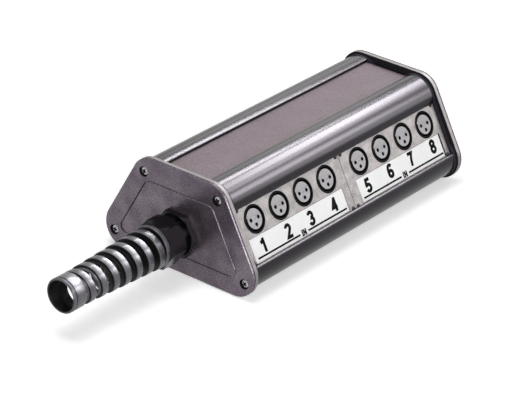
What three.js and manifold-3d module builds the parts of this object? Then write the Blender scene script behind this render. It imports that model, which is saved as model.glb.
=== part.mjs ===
// Stage box of a multicore snake: a trapezoid box of four round rails, inset panels and two end
// plates, with eight three-pole sockets on one sloping side and a cable gland with a spiral bend
// guard on one end. Millimetres, +Z up, +X along the box away from the gland, sockets at -Y.
import * as THREE from 'three';
import { mergeVertices } from 'three/addons/utils/BufferGeometryUtils.js';
import Module from 'manifold-3d';

const wasm = await Module();
wasm.setup();

// Sizes of the whole box
const box_height = 81.5;
const box_width = 139.5;
const side_slope = THREE.MathUtils.degToRad(61.5);
const body_length = 242.5;
const fit = 0.3;
const cut_over = 1;
const weld_gap = 0.00001;

// Sizes of the end plates and their gaskets
const cap_corner = 18;
const cap_thickness = 5.2;
const cap_edge_round = 1.2;
const cap_back_chamfer = 0.3;
const cap_groove_start = 1.3;
const cap_groove_width = 0.7;
const cap_groove_depth = 0.5;
const cap_overhang = 2;
const plateau_height = 0.8;
const plateau_inset = 15.1;
const plateau_top_inset = 17.6;
const plateau_corner = 5;
const gasket_thickness = 2.5;
const gasket_rim = 1.6;
const gasket_rise = 1.7;
const gasket_rail_margin = 0.3;
const gasket_opening_inset = 13;
const gasket_opening_corner = 12;

// Sizes of the end plate screws
const cap_screw_upper_reach = 6.85;
const cap_screw_upper_drop = 12;
const cap_screw_lower_inset = 8.85;
const cap_screw_lower_rise = 12.7;
const cap_screw_head = 6.2;
const cap_screw_head_height = 2;
const cap_screw_crown = 0.5;
const cap_screw_crown_share = 0.55;
const cap_screw_shank = 3.8;
const cap_screw_length = 16;
const cap_counterbore = 8;
const cap_counterbore_depth = 2.6;
const cross_recess_length = 3.6;
const cross_recess_width = 0.9;
const cross_recess_depth = 1.2;

// Sizes of the rails
const rail_upper_radius = 18;
const rail_lower_radius = 16.5;
const rail_lip_round = 3.5;
const rail_top_lip_inset = 6.55;
const rail_side_lip_upper = 9.7;
const rail_side_lip_foot = 0.2;
const rail_edge_round = 1.2;
const rail_bottom_lip_inset = 7.75;
const rail_ledge = 2;
const rail_ledge_reach = 2.5;
const rail_web_upper = 5;
const rail_web_lower_reach = 2.75;
const rail_web_lower_rise = 16;

// Sizes of the panels
const top_panel_drop = 6.5;
const top_panel_thickness = 2;
const top_panel_reach = 1.95;
const side_panel_drop = 2.9;
const side_panel_thickness = 2.5;
const side_panel_upper = 4;
const side_panel_foot = 5.2;
const bottom_panel_drop = 4;
const bottom_panel_thickness = 2;
const bottom_panel_inset = 1.75;

// Sizes of the socket modules
const module_count = 2;
const sockets_per_module = 4;
const socket_pitch_share = 0.2309;
const socket_outer_share = 0.1427;
const socket_line = 21.3;
const module_screw_margin = 3;
const module_screw_edge = 5.8;
const module_screw_head = 3.4;
const module_screw_head_height = 1.4;
const module_screw_shank = 2.4;
const module_screw_length = 6.8;
const module_slot_length = 2.4;
const module_slot_width = 0.6;
const module_slot_depth = 0.5;
const carrier_thickness = 3;
const carrier_margin = 2.9;
const carrier_end_margin = 0.6;
const label_socket_gap = 0.95;
const label_foot = 5.7;
const label_outer_margin = 4.4;
const label_seam_margins = [7.3, 9.8];
const label_end_gaps = [fit, 1.5];
const label_recess = 0.6;
const label_thickness = 0.5;

// Sizes of the sockets
const socket_flange = 21.1;
const socket_flange_thickness = 1.1;
const socket_flange_proud = 0.4;
const socket_barrel = 19.8;
const socket_bore = 18.6;
const socket_depth = 20;
const socket_back = 1.5;
const socket_edge = 0.4;
const insert_diameter = 15.6;
const insert_recess = 0.1;
const insert_chamfer = 0.5;
const insert_step = 0.4;
const insert_step_line = 2.3;
const contact_hole = 2.6;
const contact_depth = 9;
const contact_side = 4.1;
const contact_side_rise = 0.2;
const contact_low = 4.2;
const insert_slot_length = 2.4;
const insert_slot_width = 0.6;
const key_width = 1.6;
const key_height = 0.8;
const key_length = 8;
const key_turn = THREE.MathUtils.degToRad(150);

// Sizes of the cable gland and of its cap nut with the spiral bend guard
const gland_drop = 8.25;
const gland_hex = 33;
const gland_hex_length = 5;
const gland_hex_chamfer = 1;
const gland_collar = 29.5;
const gland_collar_length = 5.8;
const gland_spigot = 24.4;
const gland_spigot_length = 11.4;
const gland_thread = 24.8;
const gland_thread_end = 13.5;
const gland_bore = 18;
const seal_seat = 20.4;
const seal_length = 9.4;
const seal_bore = 12;
const locknut_hex = 32;
const locknut_thickness = 5;
const slip_ring_outer = 23.2;
const slip_ring_inner = 16;
const slip_ring_thickness = 1.5;
const nut_hex = 33;
const nut_length = 16.5;
const nut_chamfer = 2.4;
const nut_turn_degrees = 4.5;
const nut_throat = 17.6;
const nut_throat_length = 2.5;
const shoulder_length = 3.5;
const guard_root_outer = 32.8;
const guard_tip_outer = 26.4;
const guard_bore = 20.2;
const guard_mouth = 21.4;
const guard_spiral_length = 80.3;
const guard_taper_length = 75;
const guard_pitch = 11.55;
const guard_band = 6;
const guard_band_chamfer = 0.8;
const guard_band_sink = 0.1;
const guard_phase_x = 6.5;
const guard_phase = THREE.MathUtils.degToRad(100);
const guard_ring_length = 12.3;
const guard_rim_length = 2;
const guard_rim_groove = 1;
const guard_rim_groove_depth = 0.5;
const guard_rim_round = 0.8;

// Counts of the steps that round shapes are made of
const corner_steps = 8;
const edge_steps = 2;
const round_steps = 20;
const small_round_steps = 10;
const port_steps = 8;
const gland_steps = 30;
const inner_ring_steps = 24;
const guard_steps = 24;
const hex_sides = 6;

// Finishes of the pieces
function finish(color, roughness, metalness) {
  return new THREE.MeshStandardMaterial({ color, roughness, metalness });
}

const anodised = finish(0x8f8b94, 0.32, 0.9);
const satin_plate = finish(0x736a72, 0.55, 0.2);
const taupe_panel = finish(0x8c7f86, 0.75, 0.1);
const cast_zinc = finish(0xa39f9d, 0.6, 0.5);
const white_label = finish(0xe9e9e8, 0.5, 0);
const black_plastic = finish(0x17151a, 0.35, 0);
const black_rubber = finish(0x2b272e, 0.8, 0);
const grey_insert = finish(0xaca8ac, 0.55, 0);
const bright_steel = finish(0xc9c9cc, 0.25, 1);
const black_steel = finish(0x1b1a1d, 0.4, 0.6);

// Solids and booleans
function closedMesh(geometry) {
  const bare = geometry.clone();
  bare.deleteAttribute('normal');
  bare.deleteAttribute('uv');
  const merged = mergeVertices(bare, weld_gap);
  const index = Array.from(merged.index.array);
  const kept = [];
  for (let i = 0; i < index.length; i += 3) {
    const [a, b, c] = index.slice(i, i + 3);
    if (a !== b && b !== c && c !== a) kept.push(a, b, c);
  }
  return { places: merged.attributes.position.array, triangles: kept };
}

function solid(geometry) {
  const { places, triangles } = closedMesh(geometry);
  const vertProperties = new Float32Array(places);
  const triVerts = new Uint32Array(triangles);
  return new wasm.Manifold(new wasm.Mesh({ numProp: 3, vertProperties, triVerts }));
}

function geometryOf(body) {
  const mesh = body.getMesh();
  const geometry = new THREE.BufferGeometry();
  geometry.setAttribute('position', new THREE.BufferAttribute(mesh.vertProperties, mesh.numProp));
  geometry.setIndex(new THREE.BufferAttribute(mesh.triVerts, 1));
  return geometry;
}

function subtractAll(body, cutters) {
  return cutters.reduce((left, cutter) => left.subtract(cutter), body);
}

// A flat outline in Y and Z, drawn out along X
const section_to_world = new THREE.Matrix4().makeBasis(
  new THREE.Vector3(0, 1, 0), new THREE.Vector3(0, 0, 1), new THREE.Vector3(1, 0, 0));

function drawnOut(points, start, end, holes = []) {
  const shape = new THREE.Shape(points);
  shape.holes = holes.map((hole) => new THREE.Path(hole));
  const geometry = new THREE.ExtrudeGeometry(shape, { depth: end - start, bevelEnabled: false });
  geometry.applyMatrix4(section_to_world);
  geometry.translate(start, 0, 0);
  return solid(geometry);
}

// A profile of [place along X, radius] turned about X
const lathe_to_world = new THREE.Matrix4().makeBasis(
  new THREE.Vector3(0, 1, 0), new THREE.Vector3(1, 0, 0), new THREE.Vector3(0, 0, -1));

function turned(profile, steps) {
  const points = profile.map(([along, radius]) => new THREE.Vector2(radius, along));
  const geometry = new THREE.LatheGeometry(points, steps);
  geometry.applyMatrix4(lathe_to_world);
  return solid(geometry);
}

function rod(start, end, diameter, steps) {
  const radius = diameter / 2;
  return turned([[start, 0], [start, radius], [end, radius], [end, 0]], steps);
}

function block(low, high) {
  const size = high.map((value, axis) => value - low[axis]);
  const geometry = new THREE.BoxGeometry(...size);
  geometry.translate(...low.map((value, axis) => value + size[axis] / 2));
  return solid(geometry);
}

// A rod along the local Z of a socket module, at a place in its X and Y
function pin(x, y, start, end, diameter, steps) {
  const geometry = new THREE.CylinderGeometry(diameter / 2, diameter / 2, end - start, steps);
  geometry.rotateX(Math.PI / 2);
  geometry.translate(x, y, (start + end) / 2);
  return solid(geometry);
}

function hexPrism(start, end, across_flats) {
  const corner = across_flats / 2 / Math.cos(Math.PI / hex_sides);
  const points = [];
  for (let i = 0; i < hex_sides; i += 1) {
    const turn = (i / hex_sides) * Math.PI * 2;
    points.push(new THREE.Vector2(corner * Math.cos(turn), corner * Math.sin(turn)));
  }
  return drawnOut(points, start, end);
}

function cornerRadius(across_flats) {
  return across_flats / 2 / Math.cos(Math.PI / hex_sides);
}

// The section's frame: half of it, as [distance from the middle plane, height]
const down = [Math.cos(side_slope), -Math.sin(side_slope)];
const out = [Math.sin(side_slope), Math.cos(side_slope)];
const lower_centre_y = box_width / 2 - cap_corner;
const slope_rise = box_height - cap_corner * 2;
const slope_length = slope_rise / Math.sin(side_slope);
const upper_centre = [
  lower_centre_y - slope_rise / Math.tan(side_slope), box_height - cap_corner];

function sidePoint(along, outward) {
  return [
    upper_centre[0] + along * down[0] + outward * out[0],
    upper_centre[1] + along * down[1] + outward * out[1],
  ];
}

// The place along the slope, and the point, at a height and a distance outward of the line
// through the corner centres
function levelAlong(height, outward) {
  return (upper_centre[1] + outward * out[1] - height) / -down[1];
}

function levelPoint(height, outward) {
  return sidePoint(levelAlong(height, outward), outward);
}

function arc(centre, radius, from, to, steps) {
  const points = [];
  for (let i = 0; i <= steps; i += 1) {
    const turn = from + ((to - from) * i) / steps;
    points.push([centre[0] + radius * Math.cos(turn), centre[1] + radius * Math.sin(turn)]);
  }
  return points;
}

const out_turn = Math.PI / 2 - side_slope;

// The box's outline, moved inward, with its own corner radius; half of it, then the mirrored half
function outline(inset, corner, top_inset = inset) {
  const face = cap_corner - inset;
  const upper = levelPoint(box_height - top_inset - corner, face - corner);
  const lower = levelPoint(inset + corner, face - corner);
  const half = [
    ...arc(lower, corner, -Math.PI / 2, out_turn, corner_steps),
    ...arc(upper, corner, out_turn, Math.PI / 2, corner_steps),
  ];
  const mirrored = half.map(([y, z]) => [-y, z]).reverse();
  return [...half, ...mirrored].map(([y, z]) => new THREE.Vector2(y, z));
}

// Outlines at several places along X, skinned into one convex closed solid
function skinned(levels) {
  const places = [];
  const triangles = [];
  const count = levels[0].points.length;
  for (const { x, points } of levels) {
    for (const point of points) places.push(x, point.x, point.y);
  }
  for (let level = 0; level + 1 < levels.length; level += 1) {
    for (let i = 0; i < count; i += 1) {
      const a = level * count + i;
      const b = level * count + ((i + 1) % count);
      triangles.push(a, b, b + count, a, b + count, a + count);
    }
  }
  const last = (levels.length - 1) * count;
  for (let i = 1; i + 1 < count; i += 1) {
    triangles.push(0, i + 1, i, last, last + i, last + i + 1);
  }
  const geometry = new THREE.BufferGeometry();
  geometry.setAttribute('position', new THREE.Float32BufferAttribute(places, 3));
  geometry.setIndex(triangles);
  return solid(geometry);
}

// Places along X, with the outer face of the plate at the gland's end at zero
const body_start = cap_thickness + gasket_thickness;
const body_end = body_start + body_length;
const box_end = body_end + gasket_thickness + cap_thickness;
const plateau_face = -plateau_height;

// Surfaces of the body
const top_face = box_height - cap_overhang - top_panel_drop;
const side_face = cap_corner - cap_overhang - side_panel_drop;
const side_back = side_face - side_panel_thickness;
const bottom_face = cap_overhang + bottom_panel_drop;
const rail_upper_level = [
  box_height - cap_overhang - rail_upper_radius, cap_corner - cap_overhang - rail_upper_radius];
const rail_lower_level = [
  cap_overhang + rail_lower_radius, cap_corner - cap_overhang - rail_lower_radius];
const rail_upper_centre = levelPoint(...rail_upper_level);
const rail_lower_centre = levelPoint(...rail_lower_level);

const top_panel_half = upper_centre[0] + top_panel_reach;
const bottom_panel_half = lower_centre_y - bottom_panel_inset;
const side_panel_lower = slope_length + side_panel_foot;
const gland_z = box_height / 2 - gland_drop;

const upper_screw_place = [upper_centre[0] + cap_screw_upper_reach, box_height - cap_screw_upper_drop];
const lower_screw_place = [box_width / 2 - cap_screw_lower_inset, cap_screw_lower_rise];
const screw_places = [
  ['upper_left', upper_screw_place[0], upper_screw_place[1]],
  ['upper_right', -upper_screw_place[0], upper_screw_place[1]],
  ['lower_left', lower_screw_place[0], lower_screw_place[1]],
  ['lower_right', -lower_screw_place[0], lower_screw_place[1]],
];

function screwHoles(start, end, diameter, steps) {
  return screw_places.map(([, y, z]) => rod(start, end, diameter, steps).translate([0, y, z]));
}

const port_diameter = cap_screw_shank + fit * 2;

// End plates
function endPlate(has_gland) {
  const shell_levels = [];
  for (let i = 0; i <= edge_steps; i += 1) {
    const turn = (i / edge_steps) * (Math.PI / 2);
    shell_levels.push([cap_edge_round * (1 - Math.sin(turn)), cap_edge_round * (1 - Math.cos(turn))]);
  }
  const rounded = shell_levels.map(([inset, depth]) => [depth, inset]);
  const groove_wall = cap_groove_width / 4;
  const groove_end = cap_groove_start + cap_groove_width;
  const levels = [
    ...rounded,
    [cap_groove_start, 0],
    [cap_groove_start + groove_wall, cap_groove_depth],
    [groove_end - groove_wall, cap_groove_depth],
    [groove_end, 0],
    [cap_thickness - cap_back_chamfer, 0],
    [cap_thickness, cap_back_chamfer],
  ];
  const plate = skinned(
    levels.map(([x, inset]) => ({ x, points: outline(inset, cap_corner - inset) })));
  const wall = plateau_height / 2;
  const plateau = skinned([
    { x: plateau_face, points: outline(plateau_inset + wall, plateau_corner, plateau_top_inset + wall) },
    { x: cap_thickness / 2, points: outline(plateau_inset, plateau_corner, plateau_top_inset) },
  ]);
  const cutters = [
    ...screwHoles(-cut_over, cap_thickness + cut_over, port_diameter, port_steps),
    ...screwHoles(-cut_over, cap_counterbore_depth, cap_counterbore, round_steps),
  ];
  if (has_gland) {
    const hole = gland_thread + fit * 2;
    cutters.push(
      rod(plateau_face - cut_over, cap_thickness + cut_over, hole, gland_steps)
        .translate([0, 0, gland_z]));
  }
  return subtractAll(plate.add(plateau), cutters);
}

function endGasket() {
  const limit = skinned([
    { x: 0, points: outline(gasket_rim, cap_corner - gasket_rim) },
    { x: gasket_thickness, points: outline(gasket_rim, cap_corner - gasket_rim) },
  ]);
  const upper = levelPoint(top_face + gasket_rise, side_face + gasket_rise);
  const lower = levelPoint(bottom_face - gasket_rise, side_face + gasket_rise);
  const core_points = [lower, upper, [-upper[0], upper[1]], [-lower[0], lower[1]]];
  let sheet = drawnOut(core_points.map(([y, z]) => new THREE.Vector2(y, z)), 0, gasket_thickness);
  const rails = [[rail_upper_centre, rail_upper_radius], [rail_lower_centre, rail_lower_radius]];
  for (const [centre, radius] of rails) {
    for (const side of [-1, 1]) {
      const disc = rod(0, gasket_thickness, (radius + gasket_rail_margin) * 2, gland_steps);
      sheet = sheet.add(disc.translate([0, side * centre[0], centre[1]]));
    }
  }
  const opening = skinned([
    { x: -cut_over, points: outline(gasket_opening_inset, gasket_opening_corner) },
    { x: gasket_thickness + cut_over, points: outline(gasket_opening_inset, gasket_opening_corner) },
  ]);
  return subtractAll(sheet.intersect(limit),
    [opening, ...screwHoles(-cut_over, gasket_thickness + cut_over, port_diameter, port_steps)]);
}

function capScrew() {
  const head = cap_screw_head / 2;
  const shank = cap_screw_shank / 2;
  const crown_start = -cap_screw_head_height;
  const body = turned([
    [crown_start, 0],
    [crown_start, head * cap_screw_crown_share],
    [crown_start + cap_screw_crown, head],
    [0, head],
    [0, shank],
    [cap_screw_length - shank, shank],
    [cap_screw_length, 0],
  ], small_round_steps);
  const arm = cross_recess_length / 2;
  const half = cross_recess_width / 2;
  const low = crown_start - cut_over;
  const high = crown_start + cross_recess_depth;
  return subtractAll(body, [
    block([low, -arm, -half], [high, arm, half]),
    block([low, -half, -arm], [high, half, arm]),
  ]);
}

// Rails, as the half section on the side of +Y
function upperRailSection() {
  const centre = rail_upper_centre;
  const lip_y = upper_centre[0] - rail_top_lip_inset + rail_lip_round;
  const reach = rail_upper_radius - rail_lip_round;
  const lip_z = centre[1] + Math.sqrt(reach ** 2 - (lip_y - centre[0]) ** 2);
  const lip_turn = Math.atan2(lip_z - centre[1], lip_y - centre[0]);
  const lip_bottom = Math.asin((top_face + fit - lip_z) / rail_lip_round);
  const along = rail_side_lip_upper - levelAlong(...rail_upper_level);
  const end_turn = out_turn - Math.asin(along / rail_upper_radius);
  const slot_floor = top_panel_half + fit;
  const slot_low = top_face - top_panel_thickness - fit;
  const ledge_y = top_panel_half - rail_ledge_reach * 2;
  const ledge_low = slot_low - rail_ledge;
  const slot_along = side_panel_upper - fit;
  const ledge_along = side_panel_upper + rail_ledge_reach;
  const slot_out = side_face + fit;
  const slot_in = side_back - fit;
  return [
    ...arc([lip_y, lip_z], rail_lip_round, Math.PI - lip_bottom, lip_turn, corner_steps),
    ...arc(centre, rail_upper_radius, lip_turn, end_turn, round_steps / 2).slice(1),
    sidePoint(rail_side_lip_upper, slot_out),
    sidePoint(slot_along, slot_out),
    sidePoint(slot_along, slot_in),
    sidePoint(ledge_along, slot_in),
    sidePoint(ledge_along, slot_in - rail_ledge),
    sidePoint(0, rail_web_upper),
    [slot_floor, ledge_low],
    [ledge_y, ledge_low],
    [ledge_y, slot_low],
    [slot_floor, slot_low],
    [slot_floor, top_face + fit],
  ];
}

function lowerRailSection() {
  const centre = rail_lower_centre;
  const slot_out = side_face + fit;
  const slot_in = side_back - fit;
  const slot_along = side_panel_lower + fit;
  const ledge_along = side_panel_lower - rail_ledge_reach;
  const lip_along = slope_length - rail_side_lip_foot;
  const round_along = lip_along + rail_edge_round;
  const offset = round_along - levelAlong(...rail_lower_level);
  const reach = rail_lower_radius - rail_edge_round;
  const round_centre = sidePoint(
    round_along, rail_lower_level[1] + Math.sqrt(reach ** 2 - offset ** 2));
  const lip_turn = out_turn - Math.asin(offset / reach);
  const slot_high = bottom_face + bottom_panel_thickness + fit;
  const slot_floor = bottom_panel_half + fit;
  const ledge_y = bottom_panel_half - rail_ledge_reach;
  const lip_y = lower_centre_y - rail_bottom_lip_inset;
  const lip_round = [lip_y + rail_edge_round, cap_overhang + rail_edge_round];
  const web_y = lower_centre_y + rail_web_lower_reach;
  return [
    sidePoint(slot_along, slot_out),
    sidePoint(lip_along, slot_out),
    ...arc(round_centre, rail_edge_round, out_turn + Math.PI / 2, lip_turn, edge_steps),
    ...arc(centre, rail_lower_radius, lip_turn, -Math.PI / 2, round_steps / 2).slice(1),
    ...arc(lip_round, rail_edge_round, -Math.PI / 2, -Math.PI, edge_steps),
    [lip_y, bottom_face - fit],
    [slot_floor, bottom_face - fit],
    [slot_floor, slot_high],
    [ledge_y, slot_high],
    [ledge_y, slot_high + rail_ledge],
    [web_y, slot_high + rail_ledge],
    [web_y, rail_web_lower_rise],
    sidePoint(ledge_along, slot_in - rail_ledge),
    sidePoint(ledge_along, slot_in),
    sidePoint(slot_along, slot_in),
  ];
}

function rail(section, side, [screw_y, screw_z]) {
  const points = section.map(([y, z]) => new THREE.Vector2(side * y, z));
  const port = rod(body_start - cut_over, body_end + cut_over, port_diameter, port_steps);
  return drawnOut(points, body_start, body_end).subtract(port.translate([0, side * screw_y, screw_z]));
}

function flatPanel(half, low, high) {
  return block([body_start, -half, low], [body_end, half, high]);
}

// Socket modules, in a frame with X along the box, Y up the slope and Z outward
const module_length = body_length / module_count;
const socket_pitch = module_length * socket_pitch_share;
const socket_outer_margin = module_length * socket_outer_share;
const module_screw_lines = [side_panel_upper + module_screw_edge, side_panel_lower - module_screw_edge];
const label_upper = socket_line + socket_flange / 2 + label_socket_gap;
const label_lower = side_panel_lower - label_foot;

function socketPlaces(module_index) {
  const span = socket_pitch * (sockets_per_module - 1);
  const first = module_index === 0 ? socket_outer_margin : module_length - socket_outer_margin - span;
  return Array.from({ length: sockets_per_module }, (_, i) => first + i * socket_pitch);
}

function moduleScrewPlaces() {
  const places = [];
  for (const x of [module_screw_margin, module_length - module_screw_margin]) {
    for (const along of module_screw_lines) places.push([x, -along]);
  }
  return places;
}

function labelSpan(module_index) {
  const seam = label_seam_margins[module_index];
  return module_index === 0
    ? [label_outer_margin, module_length - seam]
    : [seam, module_length - label_outer_margin];
}

// A countersunk head's cone, with its flat face at the given height
function countersink(x, y, face, head, shank, height) {
  const geometry = new THREE.CylinderGeometry(head / 2, shank / 2, height, small_round_steps);
  geometry.rotateX(Math.PI / 2);
  geometry.translate(x, y, face - height / 2);
  return solid(geometry);
}

function modulePlate(module_index) {
  const plate = block([0, -side_panel_lower, side_back], [module_length, -side_panel_upper, side_face]);
  const over = side_face + cut_over;
  const seat = side_face + socket_flange_proud - socket_flange_thickness - fit;
  const cutters = [];
  for (const x of socketPlaces(module_index)) {
    cutters.push(pin(x, -socket_line, side_back - cut_over, over, socket_barrel + fit * 2, round_steps));
    cutters.push(pin(x, -socket_line, seat, over, socket_flange + fit * 2, round_steps));
  }
  const shank = module_screw_shank + fit * 2;
  for (const [x, y] of moduleScrewPlaces()) {
    cutters.push(pin(x, y, side_back - cut_over, over, shank, port_steps));
    const head = module_screw_head + fit * 2;
    cutters.push(countersink(x, y, side_face, head, shank, module_screw_head_height));
  }
  const [start, end] = labelSpan(module_index);
  cutters.push(block([start, -label_lower, side_face - label_recess], [end, -label_upper, over]));
  return subtractAll(plate, cutters);
}

function moduleLabel(module_index) {
  const [start, end] = labelSpan(module_index);
  const gap = label_end_gaps[module_index];
  const floor = side_face - label_recess;
  return block(
    [start + fit, -label_lower + fit, floor],
    [end - gap, -label_upper - fit, floor + label_thickness]);
}

function socketCarrier(module_index) {
  const top = side_back - fit;
  const bottom = top - carrier_thickness;
  const bar = block(
    [carrier_end_margin, carrier_margin - side_panel_lower, bottom],
    [module_length - carrier_end_margin, -side_panel_upper - carrier_margin, top]);
  const cutters = socketPlaces(module_index).map((x) => pin(
    x, -socket_line, bottom - cut_over, top + cut_over, socket_barrel + fit * 2, round_steps));
  for (const [x, y] of moduleScrewPlaces()) {
    cutters.push(pin(x, y, bottom - cut_over, top + cut_over, module_screw_shank + fit * 2, port_steps));
  }
  return subtractAll(bar, cutters);
}

function moduleScrew() {
  const head = module_screw_head;
  const shank_top = -module_screw_head_height / 2;
  const shank = pin(0, 0, -module_screw_length, shank_top, module_screw_shank, small_round_steps);
  const body = countersink(0, 0, 0, head, module_screw_shank, module_screw_head_height).add(shank);
  const half = module_slot_length / 2;
  const wide = module_slot_width / 2;
  return subtractAll(body, [
    block([-half, -wide, -module_slot_depth], [half, wide, cut_over]),
    block([-wide, -half, -module_slot_depth], [wide, half, cut_over]),
  ]);
}

// Sockets, with the module's face at zero
function lathedOutward(profile) {
  const geometry = new THREE.LatheGeometry(
    profile.map(([height, radius]) => new THREE.Vector2(radius, height)), round_steps);
  geometry.rotateX(Math.PI / 2);
  return solid(geometry);
}

function socketShell() {
  const flange = socket_flange / 2;
  const barrel = socket_barrel / 2;
  const bore = socket_bore / 2;
  const front = socket_flange_proud;
  const shoulder = front - socket_flange_thickness;
  return lathedOutward([
    [-socket_depth, 0],
    [-socket_depth, barrel],
    [shoulder, barrel],
    [shoulder, flange],
    [front - socket_edge, flange],
    [front, flange - socket_edge],
    [front, bore + socket_edge],
    [front - socket_edge, bore],
    [socket_back - socket_depth, bore],
    [socket_back - socket_depth, 0],
  ]);
}

function socketInsert() {
  const radius = insert_diameter / 2;
  const front = -insert_recess;
  const back = socket_back - socket_depth + fit;
  let body = lathedOutward([
    [back, 0],
    [back, radius],
    [front - insert_chamfer, radius],
    [front, radius - insert_chamfer],
    [front, 0],
  ]);
  const key = block(
    [0, -key_width / 2, front - key_length], [radius + key_height, key_width / 2, front - insert_chamfer]);
  body = body.add(key.rotate([0, 0, THREE.MathUtils.radToDeg(key_turn)]));
  const holes = [
    [-contact_side, contact_side_rise],
    [contact_side, contact_side_rise],
    [0, -contact_low],
  ];
  const cutters = holes.map(
    ([x, y]) => pin(x, y, front - contact_depth, cut_over, contact_hole, small_round_steps));
  const slot = insert_slot_length / 2;
  const slot_low = contact_side_rise - insert_slot_width / 2;
  const step = front - insert_step;
  cutters.push(block([-slot, slot_low, step], [slot, slot_low + insert_slot_width, cut_over]));
  cutters.push(block([-radius, insert_step_line, step], [radius, radius, cut_over]));
  return subtractAll(body, cutters);
}

// Cable gland, about its own axis; it is carried to its height at the end
function glandBody() {
  const hex_end = plateau_face - gland_hex_length;
  const collar_end = hex_end - gland_collar_length;
  const spigot_end = collar_end - gland_spigot_length;
  const corner = cornerRadius(gland_hex);
  const hex_blank = turned([
    [hex_end, 0],
    [hex_end, corner - gland_hex_chamfer * 2],
    [hex_end + gland_hex_chamfer, corner],
    [plateau_face, corner],
    [plateau_face, 0],
  ], gland_steps);
  const hex = hexPrism(hex_end, plateau_face, gland_hex).intersect(hex_blank);
  const collar = gland_collar / 2;
  const spigot = gland_spigot / 2;
  const thread = gland_thread / 2;
  const round = turned([
    [spigot_end, 0],
    [spigot_end, spigot - gland_hex_chamfer],
    [spigot_end + gland_hex_chamfer, spigot],
    [collar_end, spigot],
    [collar_end, collar - gland_hex_chamfer],
    [collar_end + gland_hex_chamfer, collar],
    [hex_end + cut_over, collar],
    [hex_end + cut_over, thread],
    [gland_thread_end - gland_hex_chamfer, thread],
    [gland_thread_end, thread - gland_hex_chamfer],
    [gland_thread_end, 0],
  ], gland_steps);
  const seat_end = spigot_end + seal_length + fit;
  return hex.add(round).subtract(turned([
    [spigot_end - cut_over, 0],
    [spigot_end - cut_over, seal_seat / 2],
    [seat_end, seal_seat / 2],
    [seat_end, gland_bore / 2],
    [gland_thread_end + cut_over, gland_bore / 2],
    [gland_thread_end + cut_over, 0],
  ], gland_steps));
}

const spigot_face = plateau_face - gland_hex_length - gland_collar_length - gland_spigot_length;

function ring(start, end, outer, inner, chamfer) {
  return turned([
    [start, inner / 2],
    [start, outer / 2 - chamfer],
    [start + chamfer, outer / 2],
    [end, outer / 2],
    [end, inner / 2],
    [start, inner / 2],
  ], inner_ring_steps);
}

function glandSeal() {
  return ring(spigot_face, spigot_face + seal_length, seal_seat - fit * 2, seal_bore, gland_hex_chamfer);
}

function slipRing() {
  const end = spigot_face - fit;
  return ring(end - slip_ring_thickness, end, slip_ring_outer, slip_ring_inner, fit);
}

function locknut() {
  const start = cap_thickness + fit;
  const end = start + locknut_thickness;
  const corner = cornerRadius(locknut_hex);
  const blank = turned([
    [start, 0],
    [start, corner],
    [end - gland_hex_chamfer, corner],
    [end, corner - gland_hex_chamfer * 2],
    [end, 0],
  ], gland_steps);
  const hole = rod(start - cut_over, end + cut_over, gland_thread + fit * 2, gland_steps);
  return hexPrism(start, end, locknut_hex).intersect(blank).subtract(hole);
}

// The bend guard's outer radius at a distance from its root
function guardRadius(distance) {
  const share = Math.min(Math.max(distance / guard_taper_length, 0), 1);
  return (guard_root_outer + (guard_tip_outer - guard_root_outer) * share) / 2;
}

function guardBand(root_x) {
  const half = guard_band / 2;
  const embed = half + guard_band_sink;
  const start = embed;
  const end = -guard_spiral_length - embed;
  const turns = (start - end) / guard_pitch;
  const steps = Math.round(turns * guard_steps);
  const start_turn = guard_phase + ((start + guard_phase_x) / guard_pitch) * Math.PI * 2;
  const places = [];
  const rows = [];
  for (let i = 0; i <= steps; i += 1) {
    const share = i / steps;
    const along = start + (end - start) * share;
    const turn = start_turn - turns * share * Math.PI * 2;
    const outer = guardRadius(-along) - guard_band_sink;
    const inner = guard_bore / 2 + guard_band_sink;
    const section = [
      [-half, inner],
      [half, inner],
      [half, outer - guard_band_chamfer],
      [half - guard_band_chamfer, outer],
      [guard_band_chamfer - half, outer],
      [-half, outer - guard_band_chamfer],
    ];
    rows.push(section.map(([shift, radius]) => new THREE.Vector3(
      root_x + along + shift, radius * Math.cos(turn), radius * Math.sin(turn))));
    for (const point of rows[i]) places.push(point.x, point.y, point.z);
  }
  const count = rows[0].length;
  const triangles = [];
  for (let i = 0; i < steps; i += 1) {
    for (let j = 0; j < count; j += 1) {
      const a = i * count + j;
      const b = i * count + ((j + 1) % count);
      triangles.push(a, b + count, b, a, a + count, b + count);
    }
  }
  for (let j = 1; j + 1 < count; j += 1) {
    triangles.push(0, j, j + 1, steps * count, steps * count + j + 1, steps * count + j);
  }
  const geometry = new THREE.BufferGeometry();
  geometry.setAttribute('position', new THREE.Float32BufferAttribute(places, 3));
  geometry.setIndex(triangles);
  return { band: solid(geometry), rows };
}

// The least distance between points of the band that lie a turn apart
function leastGap(rows) {
  let least = Infinity;
  for (let i = 0; i + guard_steps < rows.length; i += 1) {
    for (const point of rows[i]) {
      for (let j = i + guard_steps - 2; j < Math.min(i + guard_steps + 3, rows.length); j += 1) {
        for (const other of rows[j]) least = Math.min(least, point.distanceTo(other));
      }
    }
  }
  return least;
}

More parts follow.
